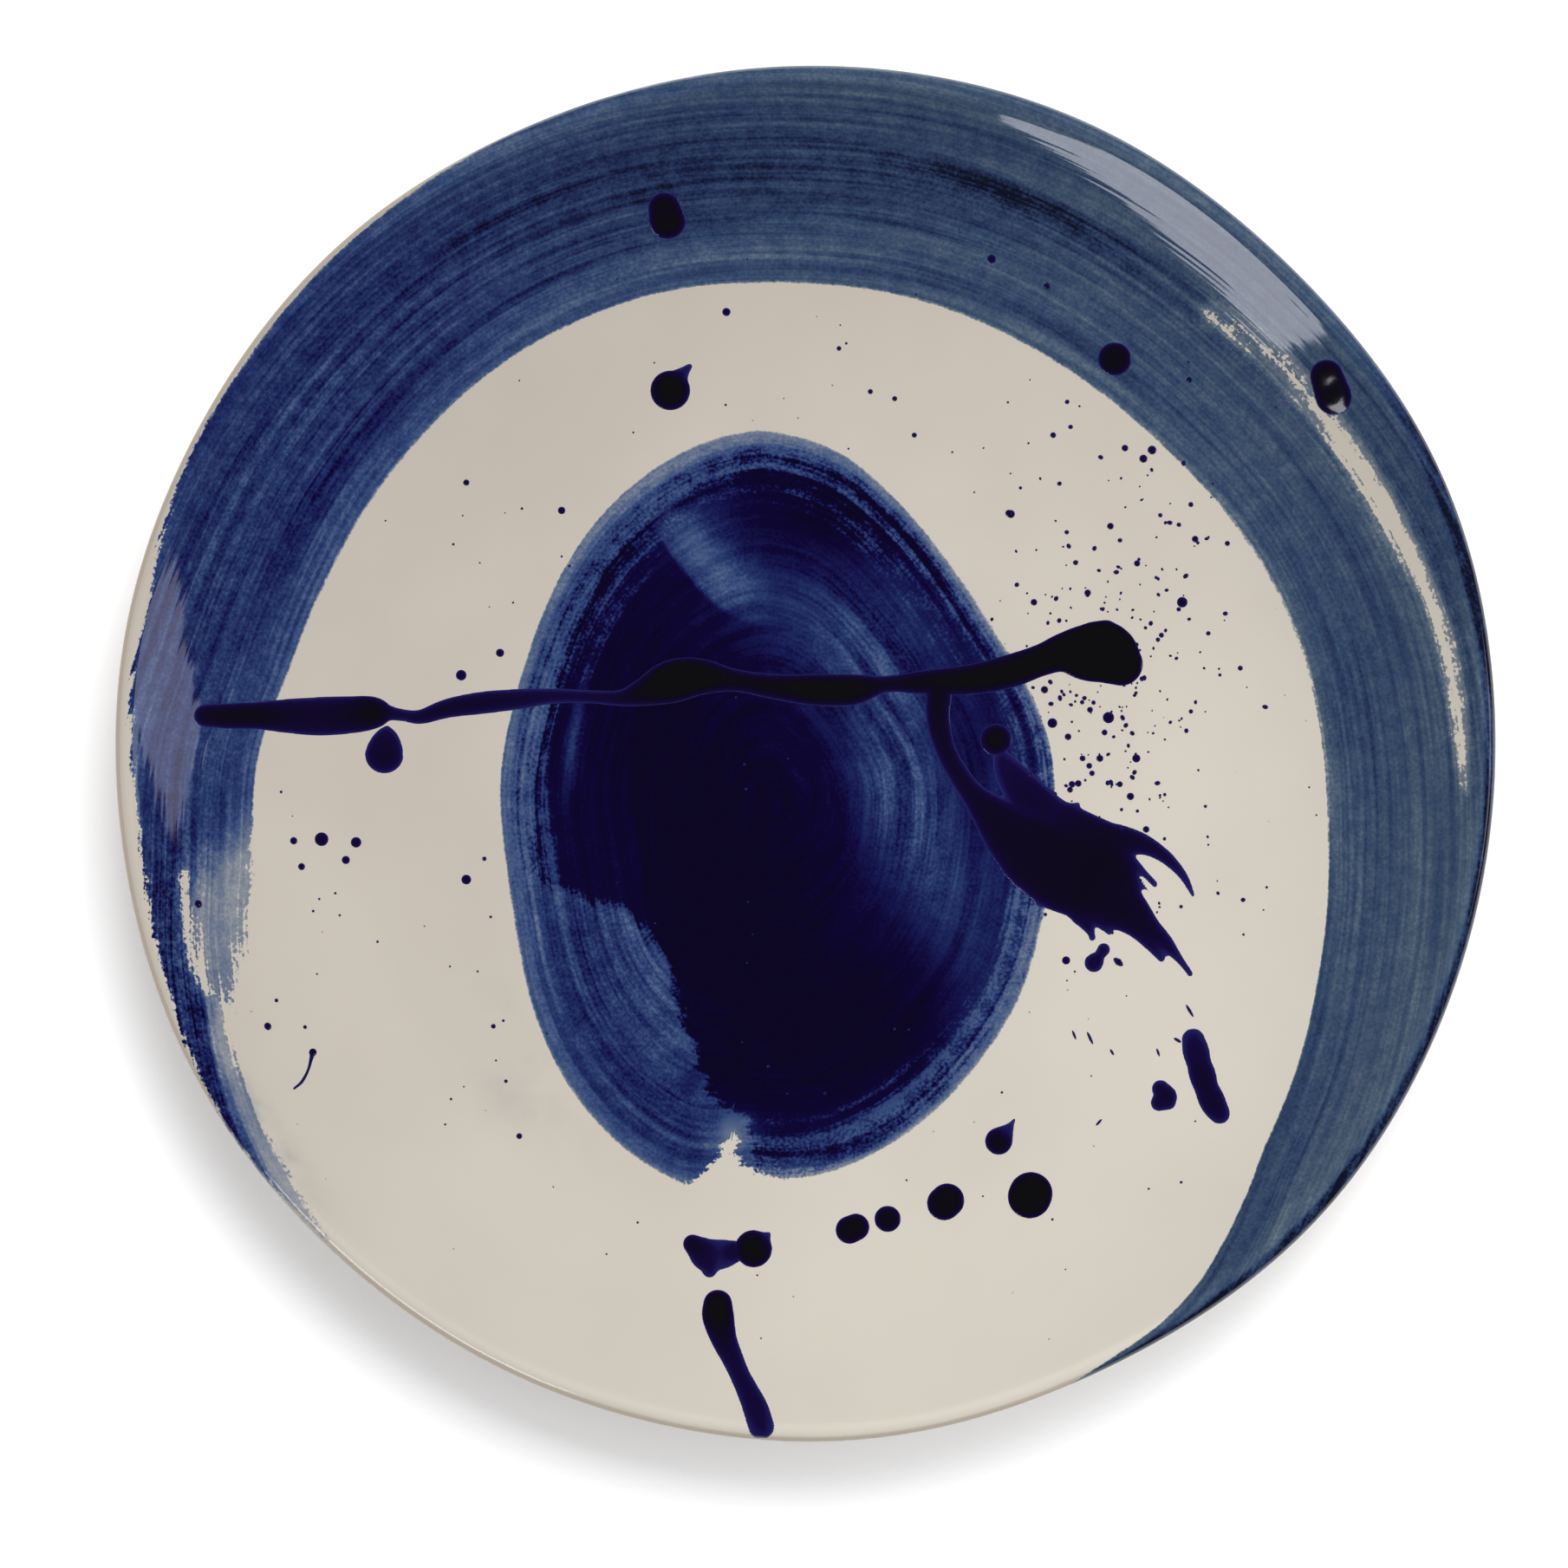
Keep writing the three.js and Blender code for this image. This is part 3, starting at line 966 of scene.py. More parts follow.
@dataclass(frozen=True)
class Load:
    """A soft patch where the brush left more slip, or less."""

    x: float
    y: float
    across: float
    up: float
    turn: float
    amount: float

    def spread(self, plan: np.ndarray) -> np.ndarray:
        """Gives what the patch adds.

        Args:
            plan: Points, one row of x and y each.

        Returns:
            The amount at each point.
        """
        heading = math.radians(self.turn)
        east = (plan[:, 0] - self.x) * math.cos(heading) + (plan[:, 1] - self.y) * math.sin(heading)
        north = (plan[:, 1] - self.y) * math.cos(heading) - (plan[:, 0] - self.x) * math.sin(heading)
        return self.amount * np.exp(-((east / self.across) ** 2) - (north / self.up) ** 2)


@dataclass
class PaintedFace:
    """The coat of glaze on the face, with the brushed band and the brushed oval in it."""

    form: PlateForm
    turn_steps: int = 480
    floor_rows: int = 82
    wall_rows: int = 42
    lip_rows: int = 9
    seat_rows: int = 8
    # The band's inner edge, from its lower left round to its lower right: angle in degrees and radius.
    inner_edge: Points = (
        (240, 176), (215, 162), (203, 153), (198, 149.5), (190, 143.5), (180, 139.4), (171.5, 133.8),
        (163, 130.8), (157, 129.4), (141, 127.1), (125, 125.8), (108.7, 123.5), (93, 120.5), (77, 119.6),
        (60, 118.9), (50, 119.2), (40, 120.7), (30, 123.8), (20, 127), (10, 130), (0, 132.5), (-10, 135.7),
        (-21, 141.2), (-30, 147), (-40, 153.8), (-44, 158), (-49.4, 164), (-53.5, 168.3), (-58, 171.2),
        (-62.5, 172.6), (-67, 174.4), (-72, 178),
    )
    # The bare margin along the lip on the left, outside the band.
    outer_edge: Points = (
        (240, 173), (228, 174.6), (220, 174.9), (212, 175), (205, 174), (200, 172.9), (195, 172.3),
        (188, 171.2), (180, 172), (172, 172), (168, 171.2), (163, 172.8), (155, 173.6), (145, 174),
        (130, 174.6), (112, 174.8), (100, 175), (92, 176.5), (86, 181), (76, 190),
    )
    # Where the main stroke ends on the left: radius and angle.
    stroke_end: Points = (
        (138, 190), (147, 195.5), (150, 198), (155, 200), (158, 201.5), (162, 202.3), (165, 201), (172, 200),
    )
    # The bare lens between the band's two tails on the left: its inner and outer edges.
    lens_start: float = 190.5
    lens_inner: Points = ((230, 163), (203, 163), (201, 163.4), (198, 162.6), (194, 161.4), (190.5, 161.9))
    lens_outer: Points = (
        (232, 178), (225, 174), (220, 171), (216, 169), (212, 167.4), (209, 166), (206, 164.3), (204.5, 163),
        (203, 162), (201.5, 164.5), (200, 165.8), (197, 164.8), (194, 163.2), (190.5, 162),
    )
    # How thick the band's slip lies across its width, on the upper left and on the right.
    slip_across: Points = (
        (0, 0.53, 0.57), (0.1, 0.57, 0.57), (0.35, 0.66, 0.55), (0.6, 0.74, 0.48), (0.8, 0.67, 0.46),
        (0.9, 0.55, 0.46), (1, 0.52, 0.44),
    )
    # A long bare streak in the band on the right: angle, radius and half width.
    bare_streak: Points = (
        (47, 153.4, 3.4), (40, 156.8, 3.6), (35, 157.6, 3.2), (30, 158.6, 3.2), (25, 160, 3.4),
        (20, 161.4, 3.4), (15, 163.9, 2.8), (10, 165.8, 2.6), (5, 166.7, 2.3), (0, 167.4, 1.7),
        (-3, 168.4, 0.6),
    )
    # The oval's outline, clockwise from its top.
    oval: Points = (
        (-13, 82.3), (-2, 80.8), (7, 77.6), (15, 72.5), (25, 63), (33, 53.5), (40, 43.8), (46, 34.4),
        (52, 25), (57, 16), (61, 6), (63, -5), (63.2, -17), (61.9, -32), (59.2, -47), (55.3, -60), (50, -70),
        (43, -80), (35, -89), (25.5, -97), (15, -103), (5, -106.9), (-5, -108), (-15, -107.5), (-24, -109.3),
        (-34, -108), (-46.5, -100), (-56, -90), (-62.8, -79.5), (-67.5, -69), (-71, -57.5), (-73.4, -45),
        (-75.4, -33), (-77.1, -21), (-77.7, -9), (-76.6, 2), (-74.4, 12), (-71.4, 23), (-67.4, 34.5),
        (-61.8, 46.5), (-53.4, 59), (-42, 70), (-27.5, 78.6),
    )
    # Where the brush was set down and lifted at the oval's foot.
    oval_notch: Points = (
        (-33, -114), (-29, -109.5), (-25.5, -105.5), (-22.5, -101.5), (-20, -98.5), (-18, -97), (-17, -98.5),
        (-18, -101), (-15.5, -102.2), (-15.5, -104.4), (-11, -105.6), (-9, -107.2), (-4, -108.6), (-4, -114),
    )
    # The lower left, that the second, darker coat left bare.
    bare_patch: Points = (
        (-90, -31), (-74, -31.5), (-67, -31.5), (-64, -34), (-60, -33.8), (-55.5, -37.5), (-50, -38.5),
        (-44, -42.5), (-38.5, -49), (-35, -55), (-33.2, -64), (-29, -75), (-27, -78.5), (-29.5, -80.5),
        (-24.5, -82.5), (-26, -86), (-22, -88.5), (-17, -92), (-14, -97), (-14, -118), (-60, -118),
        (-90, -80),
    )
    # A tick at the upper left, where that coat starts thinly from a crisp edge.
    tick_edge: Points = (
        (-48, 67), (-41, 60), (-35, 52), (-30, 45.5), (-25, 40), (-20, 36), (-14, 33.5), (-4, 33), (25, 50),
        (10, 90), (-30, 95),
    )
    tick: Load = Load(-25.5, 49.5, 8, 15, 45, 0.9)
    # Angle round the oval in degrees and how far in from its outline the second coat starts, in mm.
    second_start: Points = (
        (-180, 8), (-120, 7), (-90, 6.5), (-60, 5), (-30, 3.2), (0, 3), (30, 3.5), (60, 5.5), (90, 8.5),
        (120, 11), (150, 9.5), (180, 8),
    )
    oval_centre: tuple[float, float] = (-10.0, -12.0)
    second_loads: tuple[Load, ...] = (
        Load(-20, -45, 30, 60, 4, 0.12),
        Load(-38, 10, 24, 30, 20, 0.06),
        Load(16, -68, 26, 20, 10, 0.1),
        Load(8, 60, 22, 7, -25, 0.12),
        Load(11, 29, 22, 16, -30, -0.22),
        Load(25, -8, 12, 27, 13, -0.34),
        Load(34, -34, 8, 18, 15, -0.1),
        Load(50, -30, 9, 44, -10, -0.1),
        Load(47, -62, 9, 18, -30, -0.05),
        Load(8, -99, 30, 9, 8, -0.06),
        Load(-58.8, 3, 2.0, 11, -8, -0.3),
    )
    wash_loads: tuple[Load, ...] = (
        Load(-8, 79, 34, 4, 0, -0.05),
        Load(-34, 58, 8, 6, 0, -0.06),
        Load(-19, -97, 6, 5, 0, -0.34),
        Load(-29, -83, 5, 3.5, 10, 0.26),
        Load(-50, -50, 16, 10, -20, 0.05),
        Load(8, -106, 26, 3, 8, -0.1),
        Load(-3, -105.5, 10, 2.6, 4, -0.18),
    )
    hazes: tuple[Load, ...] = (
        Load(-81, -61, 9, 12, 0, 0.022),
        Load(-73, -84, 15, 14, 20, 0.026),
        Load(-60, -98, 12, 7, -40, 0.02),
        Load(-130, -106, 12, 4.5, -50, 0.06),
        Load(-141, -91, 10, 4.5, -52, 0.11),
    )

    def make(self, material: bpy.types.Material) -> bpy.types.Object:
        """Builds the coat and lays the brushwork on it.

        Args:
            material: Its finish.

        Returns:
            The new piece.
        """
        form = self.form
        thick = form.glaze_thickness
        flat = form.flat_radius
        top = form.lip_top_angle
        surface = [
            *((flat * i / self.floor_rows, form.floor_top + thick) for i in range(self.floor_rows)),
            *form.upper_side(thick, self.wall_rows),
            *form.lip(thick, top, 7, self.lip_rows),
        ]
        seat = [
            (0, form.floor_top + 0.02), *form.upper_side(0.02, self.seat_rows), *form.lip(0.02, top, 7, 3)
        ]
        work = form.turn([*seat, *surface[::-1]], self.turn_steps, loop=False)
        piece = finish_piece("face_glaze_painted", work, ("face_glaze",), material)
        self.brush(piece.data)
        return piece

    def wrap(self, mesh: bpy.types.Mesh) -> None:
        """Carries the band over the lip onto the back, where it stops in a broken line.

        Args:
            mesh: The coat on the back.
        """
        rows = plan_of(mesh)
        angle = np.arctan2(rows[:, 1], rows[:, 0])
        degrees = (np.degrees(angle) + 110) % 360 - 110
        lip_height = self.form.off_wall(1, -self.form.lip_thickness / 2)[1]
        lip_height = lip_height + self.form.waves(self.form.height_waves, angle)
        drop = 1.6 + 0.9 * np.sin(3 * angle) + 0.5 * np.sin(7 * angle + 1)
        above = rows[:, 2] - (lip_height - drop)
        ends = np.minimum(degrees + 66, 105 - degrees) * 3
        count = len(rows)
        # Darker towards the right and lower right: partly more slip run over the lip, partly painted shade on
        # the lip's outer face.
        dark = 0.6 + 0.4 * smooth_step(-degrees, -60, -15)
        put_attribute(mesh, "brush_lay", np.column_stack([angle * 150, rows[:, 2], np.minimum(above, ends)]))
        put_attribute(mesh, "brush_load", np.column_stack([dark, np.full(count, -50.0), np.zeros(count)]))
        put_attribute(
            mesh, "brush_dry", np.column_stack([np.full(count, 1.4), np.zeros(count), np.full(count, 0.4)])
        )
        put_attribute(mesh, "brush_slate", 1 - smooth_step(degrees, 80, 150))
        put_attribute(mesh, "glaze_thin", self.thinning(rows))

    def thinning(self, rows: np.ndarray) -> np.ndarray:
        """Gives how thin the ground glaze has run over the lip's edge.

        Args:
            rows: One row of x, y and z each.

        Returns:
            The thinning, from 0 to 0.85.
        """
        reach = np.hypot(rows[:, 0], rows[:, 1])
        angle = np.arctan2(rows[:, 1], rows[:, 0])
        radius = reach / (1 + self.form.waves(self.form.radius_waves, angle) / self.form.mean_radius)
        return 0.85 * smooth_step(radius, self.form.mean_radius - 0.9, self.form.mean_radius + 0.2)

    def brush(self, mesh: bpy.types.Mesh) -> None:
        """Stores the brushwork on the mesh, for the material to read.

        Args:
            mesh: The coat on the face.
        """
        plan = VIEW.seen(plan_of(mesh))
        band = self.band(plan)
        oval = self.oval_coats(plan)
        in_oval = oval["lay"][:, 2] > -6
        lay = np.where(in_oval[:, None], oval["lay"], band["lay"])
        load = np.where(in_oval[:, None], oval["load"], band["load"])
        dry = np.where(in_oval[:, None], oval["dry"], band["dry"])
        put_attribute(mesh, "brush_lay", lay)
        put_attribute(mesh, "brush_load", load)
        put_attribute(mesh, "brush_dry", dry)
        put_attribute(mesh, "brush_slate", np.where(in_oval, 0.0, band["slate"]))
        put_attribute(mesh, "brush_haze", sum(haze.spread(plan) for haze in self.hazes))
        put_attribute(mesh, "glaze_thin", self.thinning(plan_of(mesh)))

    def band(self, plan: np.ndarray) -> dict[str, np.ndarray]:
        """Works out the band's brushwork, with painted shade along the lip on the right.

        Args:
            plan: Points of the drawing, one row of x and y each.

        Returns:
            Lay, load, dryness and slate shade at each point.
        """
        radius = np.hypot(plan[:, 0], plan[:, 1])
        degrees = (np.degrees(np.arctan2(plan[:, 1], plan[:, 0])) + 110) % 360 - 110

        def edge(points: Points) -> np.ndarray:
            """Reads a radius off a curve of angle and radius."""
            path = smooth_path(points)[::-1]
            return np.interp(degrees, path[:, 0], path[:, 1])

        inner = edge(self.inner_edge)
        across = radius - inner
        margin = edge(self.outer_edge) - radius
        end = np.interp(radius, *np.array(self.stroke_end).T)
        to_end = (end - degrees) * radius * math.radians(1) * 0.3
        past_lens = degrees > self.lens_start
        to_lens = np.where(past_lens, edge(self.lens_inner) - radius, 99)
        main = np.minimum.reduce([across, margin, to_end, to_lens])
        outer = np.where(past_lens, np.minimum(margin, radius - edge(self.lens_outer)), -99)
        inside = np.maximum(main, outer)

        share = across / (175 - np.minimum(inner, 174))
        table = np.array(self.slip_across)
        left_wash = np.interp(share, table[:, 0], table[:, 1])
        right_wash = np.interp(share, table[:, 0], table[:, 2])
        upper = smooth_step(degrees, 10, 145)
        wash = right_wash + (left_wash - right_wash) * upper - 0.1 * np.exp(-np.clip(across, 0, None) / 2)
        wash += 0.3 * np.exp(-(((radius - 151.5) / 4.5) ** 2) - ((degrees - 66) / 17) ** 2)
        wash += 0.16 * np.exp(-(((radius - 169.5) / 3.5) ** 2) - ((degrees - 20) / 16) ** 2)
        wash -= 0.08 * np.exp(-(((radius - 171) / 1.6) ** 2)) * smooth_step(-degrees, -5, 25)
        # Darker along the lip on the right and lower right: partly slip pooled on the lip, partly painted
        # shade on the lip's shaded outer face.
        wash += 0.5 * smooth_step(radius, 172.9, 174.2) * smooth_step(-degrees, -45, -12)
        fades_from = 183 + 0.25 * (radius - 140)
        wash_main = wash * (1 - 0.75 * smooth_step(degrees - fades_from, 0, 7))
        dark_tail = smooth_step(
            radius - edge(self.lens_outer) - 4.5 * smooth_step(degrees, 200, 205), -2.5, 2.5
        )
        wash_tail = (0.1 + 0.6 * dark_tail) * (1 - 0.6 * smooth_step(degrees, 212, 227))
        in_tail = past_lens & (outer >= main)
        wash = np.where(in_tail, wash_tail, wash_main)

        streak = np.array(self.bare_streak)
        angles = np.radians(streak[:, 0])
        line = np.column_stack(
            [streak[:, 1] * np.cos(angles), streak[:, 1] * np.sin(angles), streak[:, 2], streak[:, 2]]
        )
        bare, _ = run_distance(plan, smooth_path(line))
        opens = smooth_step(degrees, 27, 43)
        strength = 0.8 - 0.3 * opens
        wash *= 1 - strength * smooth_step(bare, -1.6, 1.2)
        near_streak = smooth_step(bare, -4, -1)
        inside = np.minimum(inside, 1.0 - bare + 2.2 * opens)

        ragged = 0.25 + smooth_step(degrees, 184, 192) * np.where(main > outer, 1.9, 0.9)
        ragged += (1.2 + 1.0 * opens) * near_streak
        ragged += 0.8 * smooth_step(-margin, -4, 0) * smooth_step(degrees, 140, 160) * (degrees < 198)
        contrast = 0.35 + 0.3 * smooth_step(degrees, 184, 196) + 0.2 * near_streak
        along = np.radians(degrees) * 150
        nothing = np.full(len(plan), -50.0)
        return {
            "lay": np.column_stack([along, across, inside]),
            "load": np.column_stack([wash, nothing, np.zeros(len(plan))]),
            "dry": np.column_stack([ragged, np.zeros(len(plan)), contrast]),
            "slate": 1 - smooth_step(degrees, 80, 150),
        }

    def oval_coats(self, plan: np.ndarray) -> dict[str, np.ndarray]:
        """Works out the oval's two coats.

        Args:
            plan: Points of the drawing, one row of x and y each.

        Returns:
            Lay, load and dryness at each point.
        """
        outline = smooth_path(self.oval, 4, closed=True)
        depth = inside_distance(plan, outline)
        notch = inside_distance(plan, smooth_path(self.oval_notch, 3, closed=True))
        patch = inside_distance(plan, smooth_path(self.bare_patch, 3, closed=True))
        tick = inside_distance(plan, smooth_path(self.tick_edge, 3, closed=True))
        thinned = smooth_step(tick, -0.4, 0.6) * self.tick.spread(plan)
        inside = np.minimum(depth, -notch)

        spokes = outline - self.oval_centre
        turns = np.arctan2(spokes[:, 1], spokes[:, 0])
        order = np.argsort(turns)
        offset = plan - self.oval_centre
        turn = np.arctan2(offset[:, 1], offset[:, 0])
        reach = np.interp(turn, turns[order], np.hypot(*spokes.T)[order], period=2 * math.pi)
        across = 68 * (1 - np.hypot(*offset.T) / reach)
        heading = (np.degrees(np.arctan2(offset[:, 0], offset[:, 1])) + 174) % 360
        along = heading * 1.3 + 900

        start = np.interp(np.degrees(turn), *np.array(self.second_start).T)
        covered = np.minimum((depth - start) * 0.22, -patch)
        wash = 0.47 + 0.12 * smooth_step(depth, 1, 12) - 0.2 * np.exp(-np.clip(depth, 0, None) / 1.8)
        wash += sum(load.spread(plan) for load in self.wash_loads)
        second = 0.31 + sum(load.spread(plan) for load in self.second_loads)
        second *= 1 - thinned
        wash *= 1 - 0.5 * thinned
        thin = 1 - smooth_step(wash + second * smooth_step(covered, -0.8, 1), 0.6, 0.92)
        ragged = 0.25 + 1.2 * smooth_step(notch, -5, -1)
        seam = np.minimum(heading, 360 - heading) * np.hypot(*offset.T) * math.radians(1)
        contrast = (0.08 + 0.34 * thin) * smooth_step(seam, 0.8, 4)
        return {
            "lay": np.column_stack([along, across, inside]),
            "load": np.column_stack([wash, covered, second]),
            "dry": np.column_stack([ragged, np.full(len(plan), 1.5), contrast]),
        }


# ---------------------------------------------------------------- poured, dripped and spattered glaze


@dataclass(frozen=True)
class Pool:
    """A raised body of glaze: one or more runs that flowed together.

    Each run's points are x, y, half width and height.
    """

    node: str
    runs: tuple[Points, ...]
    cell: float = 0.45
    shoulder: float = 1.3
    relief: float = 0.65
    dimple: float = 0.0
    settling: int = 4

    def make(self, form: PlateForm, material: bpy.types.Material) -> bpy.types.Object:
        """Builds the pool and lays it on the face.

        Args:
            form: The plate it lies on.
            material: Its finish.

        Returns:
            The new piece.
        """
        paths = [smooth_path(run, 6) if len(run) > 1 else np.array(run, float) for run in self.runs]
        every = np.vstack(paths)
        low = (every[:, :2] - every[:, 2:3]).min(0) - 2 * self.cell
        high = (every[:, :2] + every[:, 2:3]).max(0) + 2 * self.cell
        size = high - low
        middle = (low + high) / 2
        work = bmesh.new()
        bmesh.ops.create_grid(
            work,
            x_segments=max(2, round(size[0] / self.cell)),
            y_segments=max(2, round(size[1] / self.cell)),
            size=0.5,
            matrix=Matrix.Translation((*middle, 0)) @ Matrix.Diagonal((size[0], size[1], 1, 1)),
        )
        self.trim(work, paths)
        drawn = np.array([v.co[:2] for v in work.verts])
        deep, thick = self.measure(drawn, paths)
        dome = self.relief * thick * (1 - np.exp(-np.clip(deep, 0, None) / self.shoulder))
        if self.dimple:
            centre = every[:, :2].mean(0)
            away = np.hypot(*(drawn - centre).T)
            dome -= self.dimple * np.exp(-((away / 1.6) ** 2))
        for vertex, height in zip(work.verts, dome):
            vertex.co.z = height
        inner = [v for v in work.verts if not v.is_boundary]
        for _ in range(self.settling):
            bmesh.ops.smooth_vert(work, verts=inner, factor=0.5, use_axis_z=True)
        plan = VIEW.placed(drawn, form)
        for vertex, place, ground in zip(work.verts, plan, form.surface_height(plan)):
            vertex.co = (*place, ground + vertex.co.z - 0.02)
        extruded = bmesh.ops.extrude_face_region(work, geom=work.faces[:])
        copies = [item for item in extruded["geom"] if isinstance(item, bmesh.types.BMVert)]
        for vertex, ground in zip(copies, form.surface_height(np.array([v.co[:2] for v in copies]))):
            vertex.co.z = ground - 0.2
        bmesh.ops.recalc_face_normals(work, faces=work.faces)
        piece = finish_piece(f"{self.node}_raised", work, (self.node,), material)
        rows = plan_of(piece.data)
        above = rows[:, 2] - form.surface_height(rows[:, :2]) + 0.02
        put_attribute(piece.data, "pool_depth", np.clip(above / self.relief, 0, 1.5))
        return piece

    def measure(self, plan: np.ndarray, paths: list[np.ndarray]) -> tuple[np.ndarray, np.ndarray]:
        """Measures how deep points lie inside the pool, and how thick it is there.

        Args:
            plan: Points, one row of x and y each.
            paths: The runs' lines.

        Returns:
            Depth inside the edge, with the runs melted into each other, and thickness.
        """
        measured = [run_distance(plan, path) for path in paths]
        deep = np.array([m[0] for m in measured])
        thick = np.array([m[1] for m in measured])
        melt = 0.35
        share = np.exp(np.clip(deep, -12, 12) / melt)
        total = share.sum(0)
        return melt * np.log(total), (share * thick).sum(0) / total

    def trim(self, work: bmesh.types.BMesh, paths: list[np.ndarray]) -> None:
        """Cuts the sheet to the pool's outline and draws its border onto it.

        Args:
            work: The sheet, in place.
            paths: The runs' lines.
        """
        plan = np.array([v.co[:2] for v in work.verts])
        deep, _ = self.measure(plan, paths)
        work.verts.ensure_lookup_table()
        outside = [f for f in work.faces if all(deep[v.index] < 0 for v in f.verts)]
        bmesh.ops.delete(work, geom=outside, context="FACES")
        loose = [v for v in work.verts if not v.link_faces]
        bmesh.ops.delete(work, geom=loose, context="VERTS")
        border = [v for v in work.verts if v.is_boundary]
        step = 0.05
        for _ in range(3):
            plan = np.array([v.co[:2] for v in border])
            deep, _ = self.measure(plan, paths)
            slope = np.column_stack(
                [(self.measure(plan + shift, paths)[0] - deep) / step for shift in ((step, 0), (0, step))]
            )
            slope /= np.maximum(np.hypot(*slope.T), 0.3)[:, None]
            for vertex, out, way in zip(border, deep, slope):
                vertex.co.x -= out * way[0]
                vertex.co.y -= out * way[1]
        bmesh.ops.smooth_vert(
            work,
            verts=[v for v in work.verts if not v.is_boundary],
            factor=0.5,
            use_axis_x=True,
            use_axis_y=True,
        )


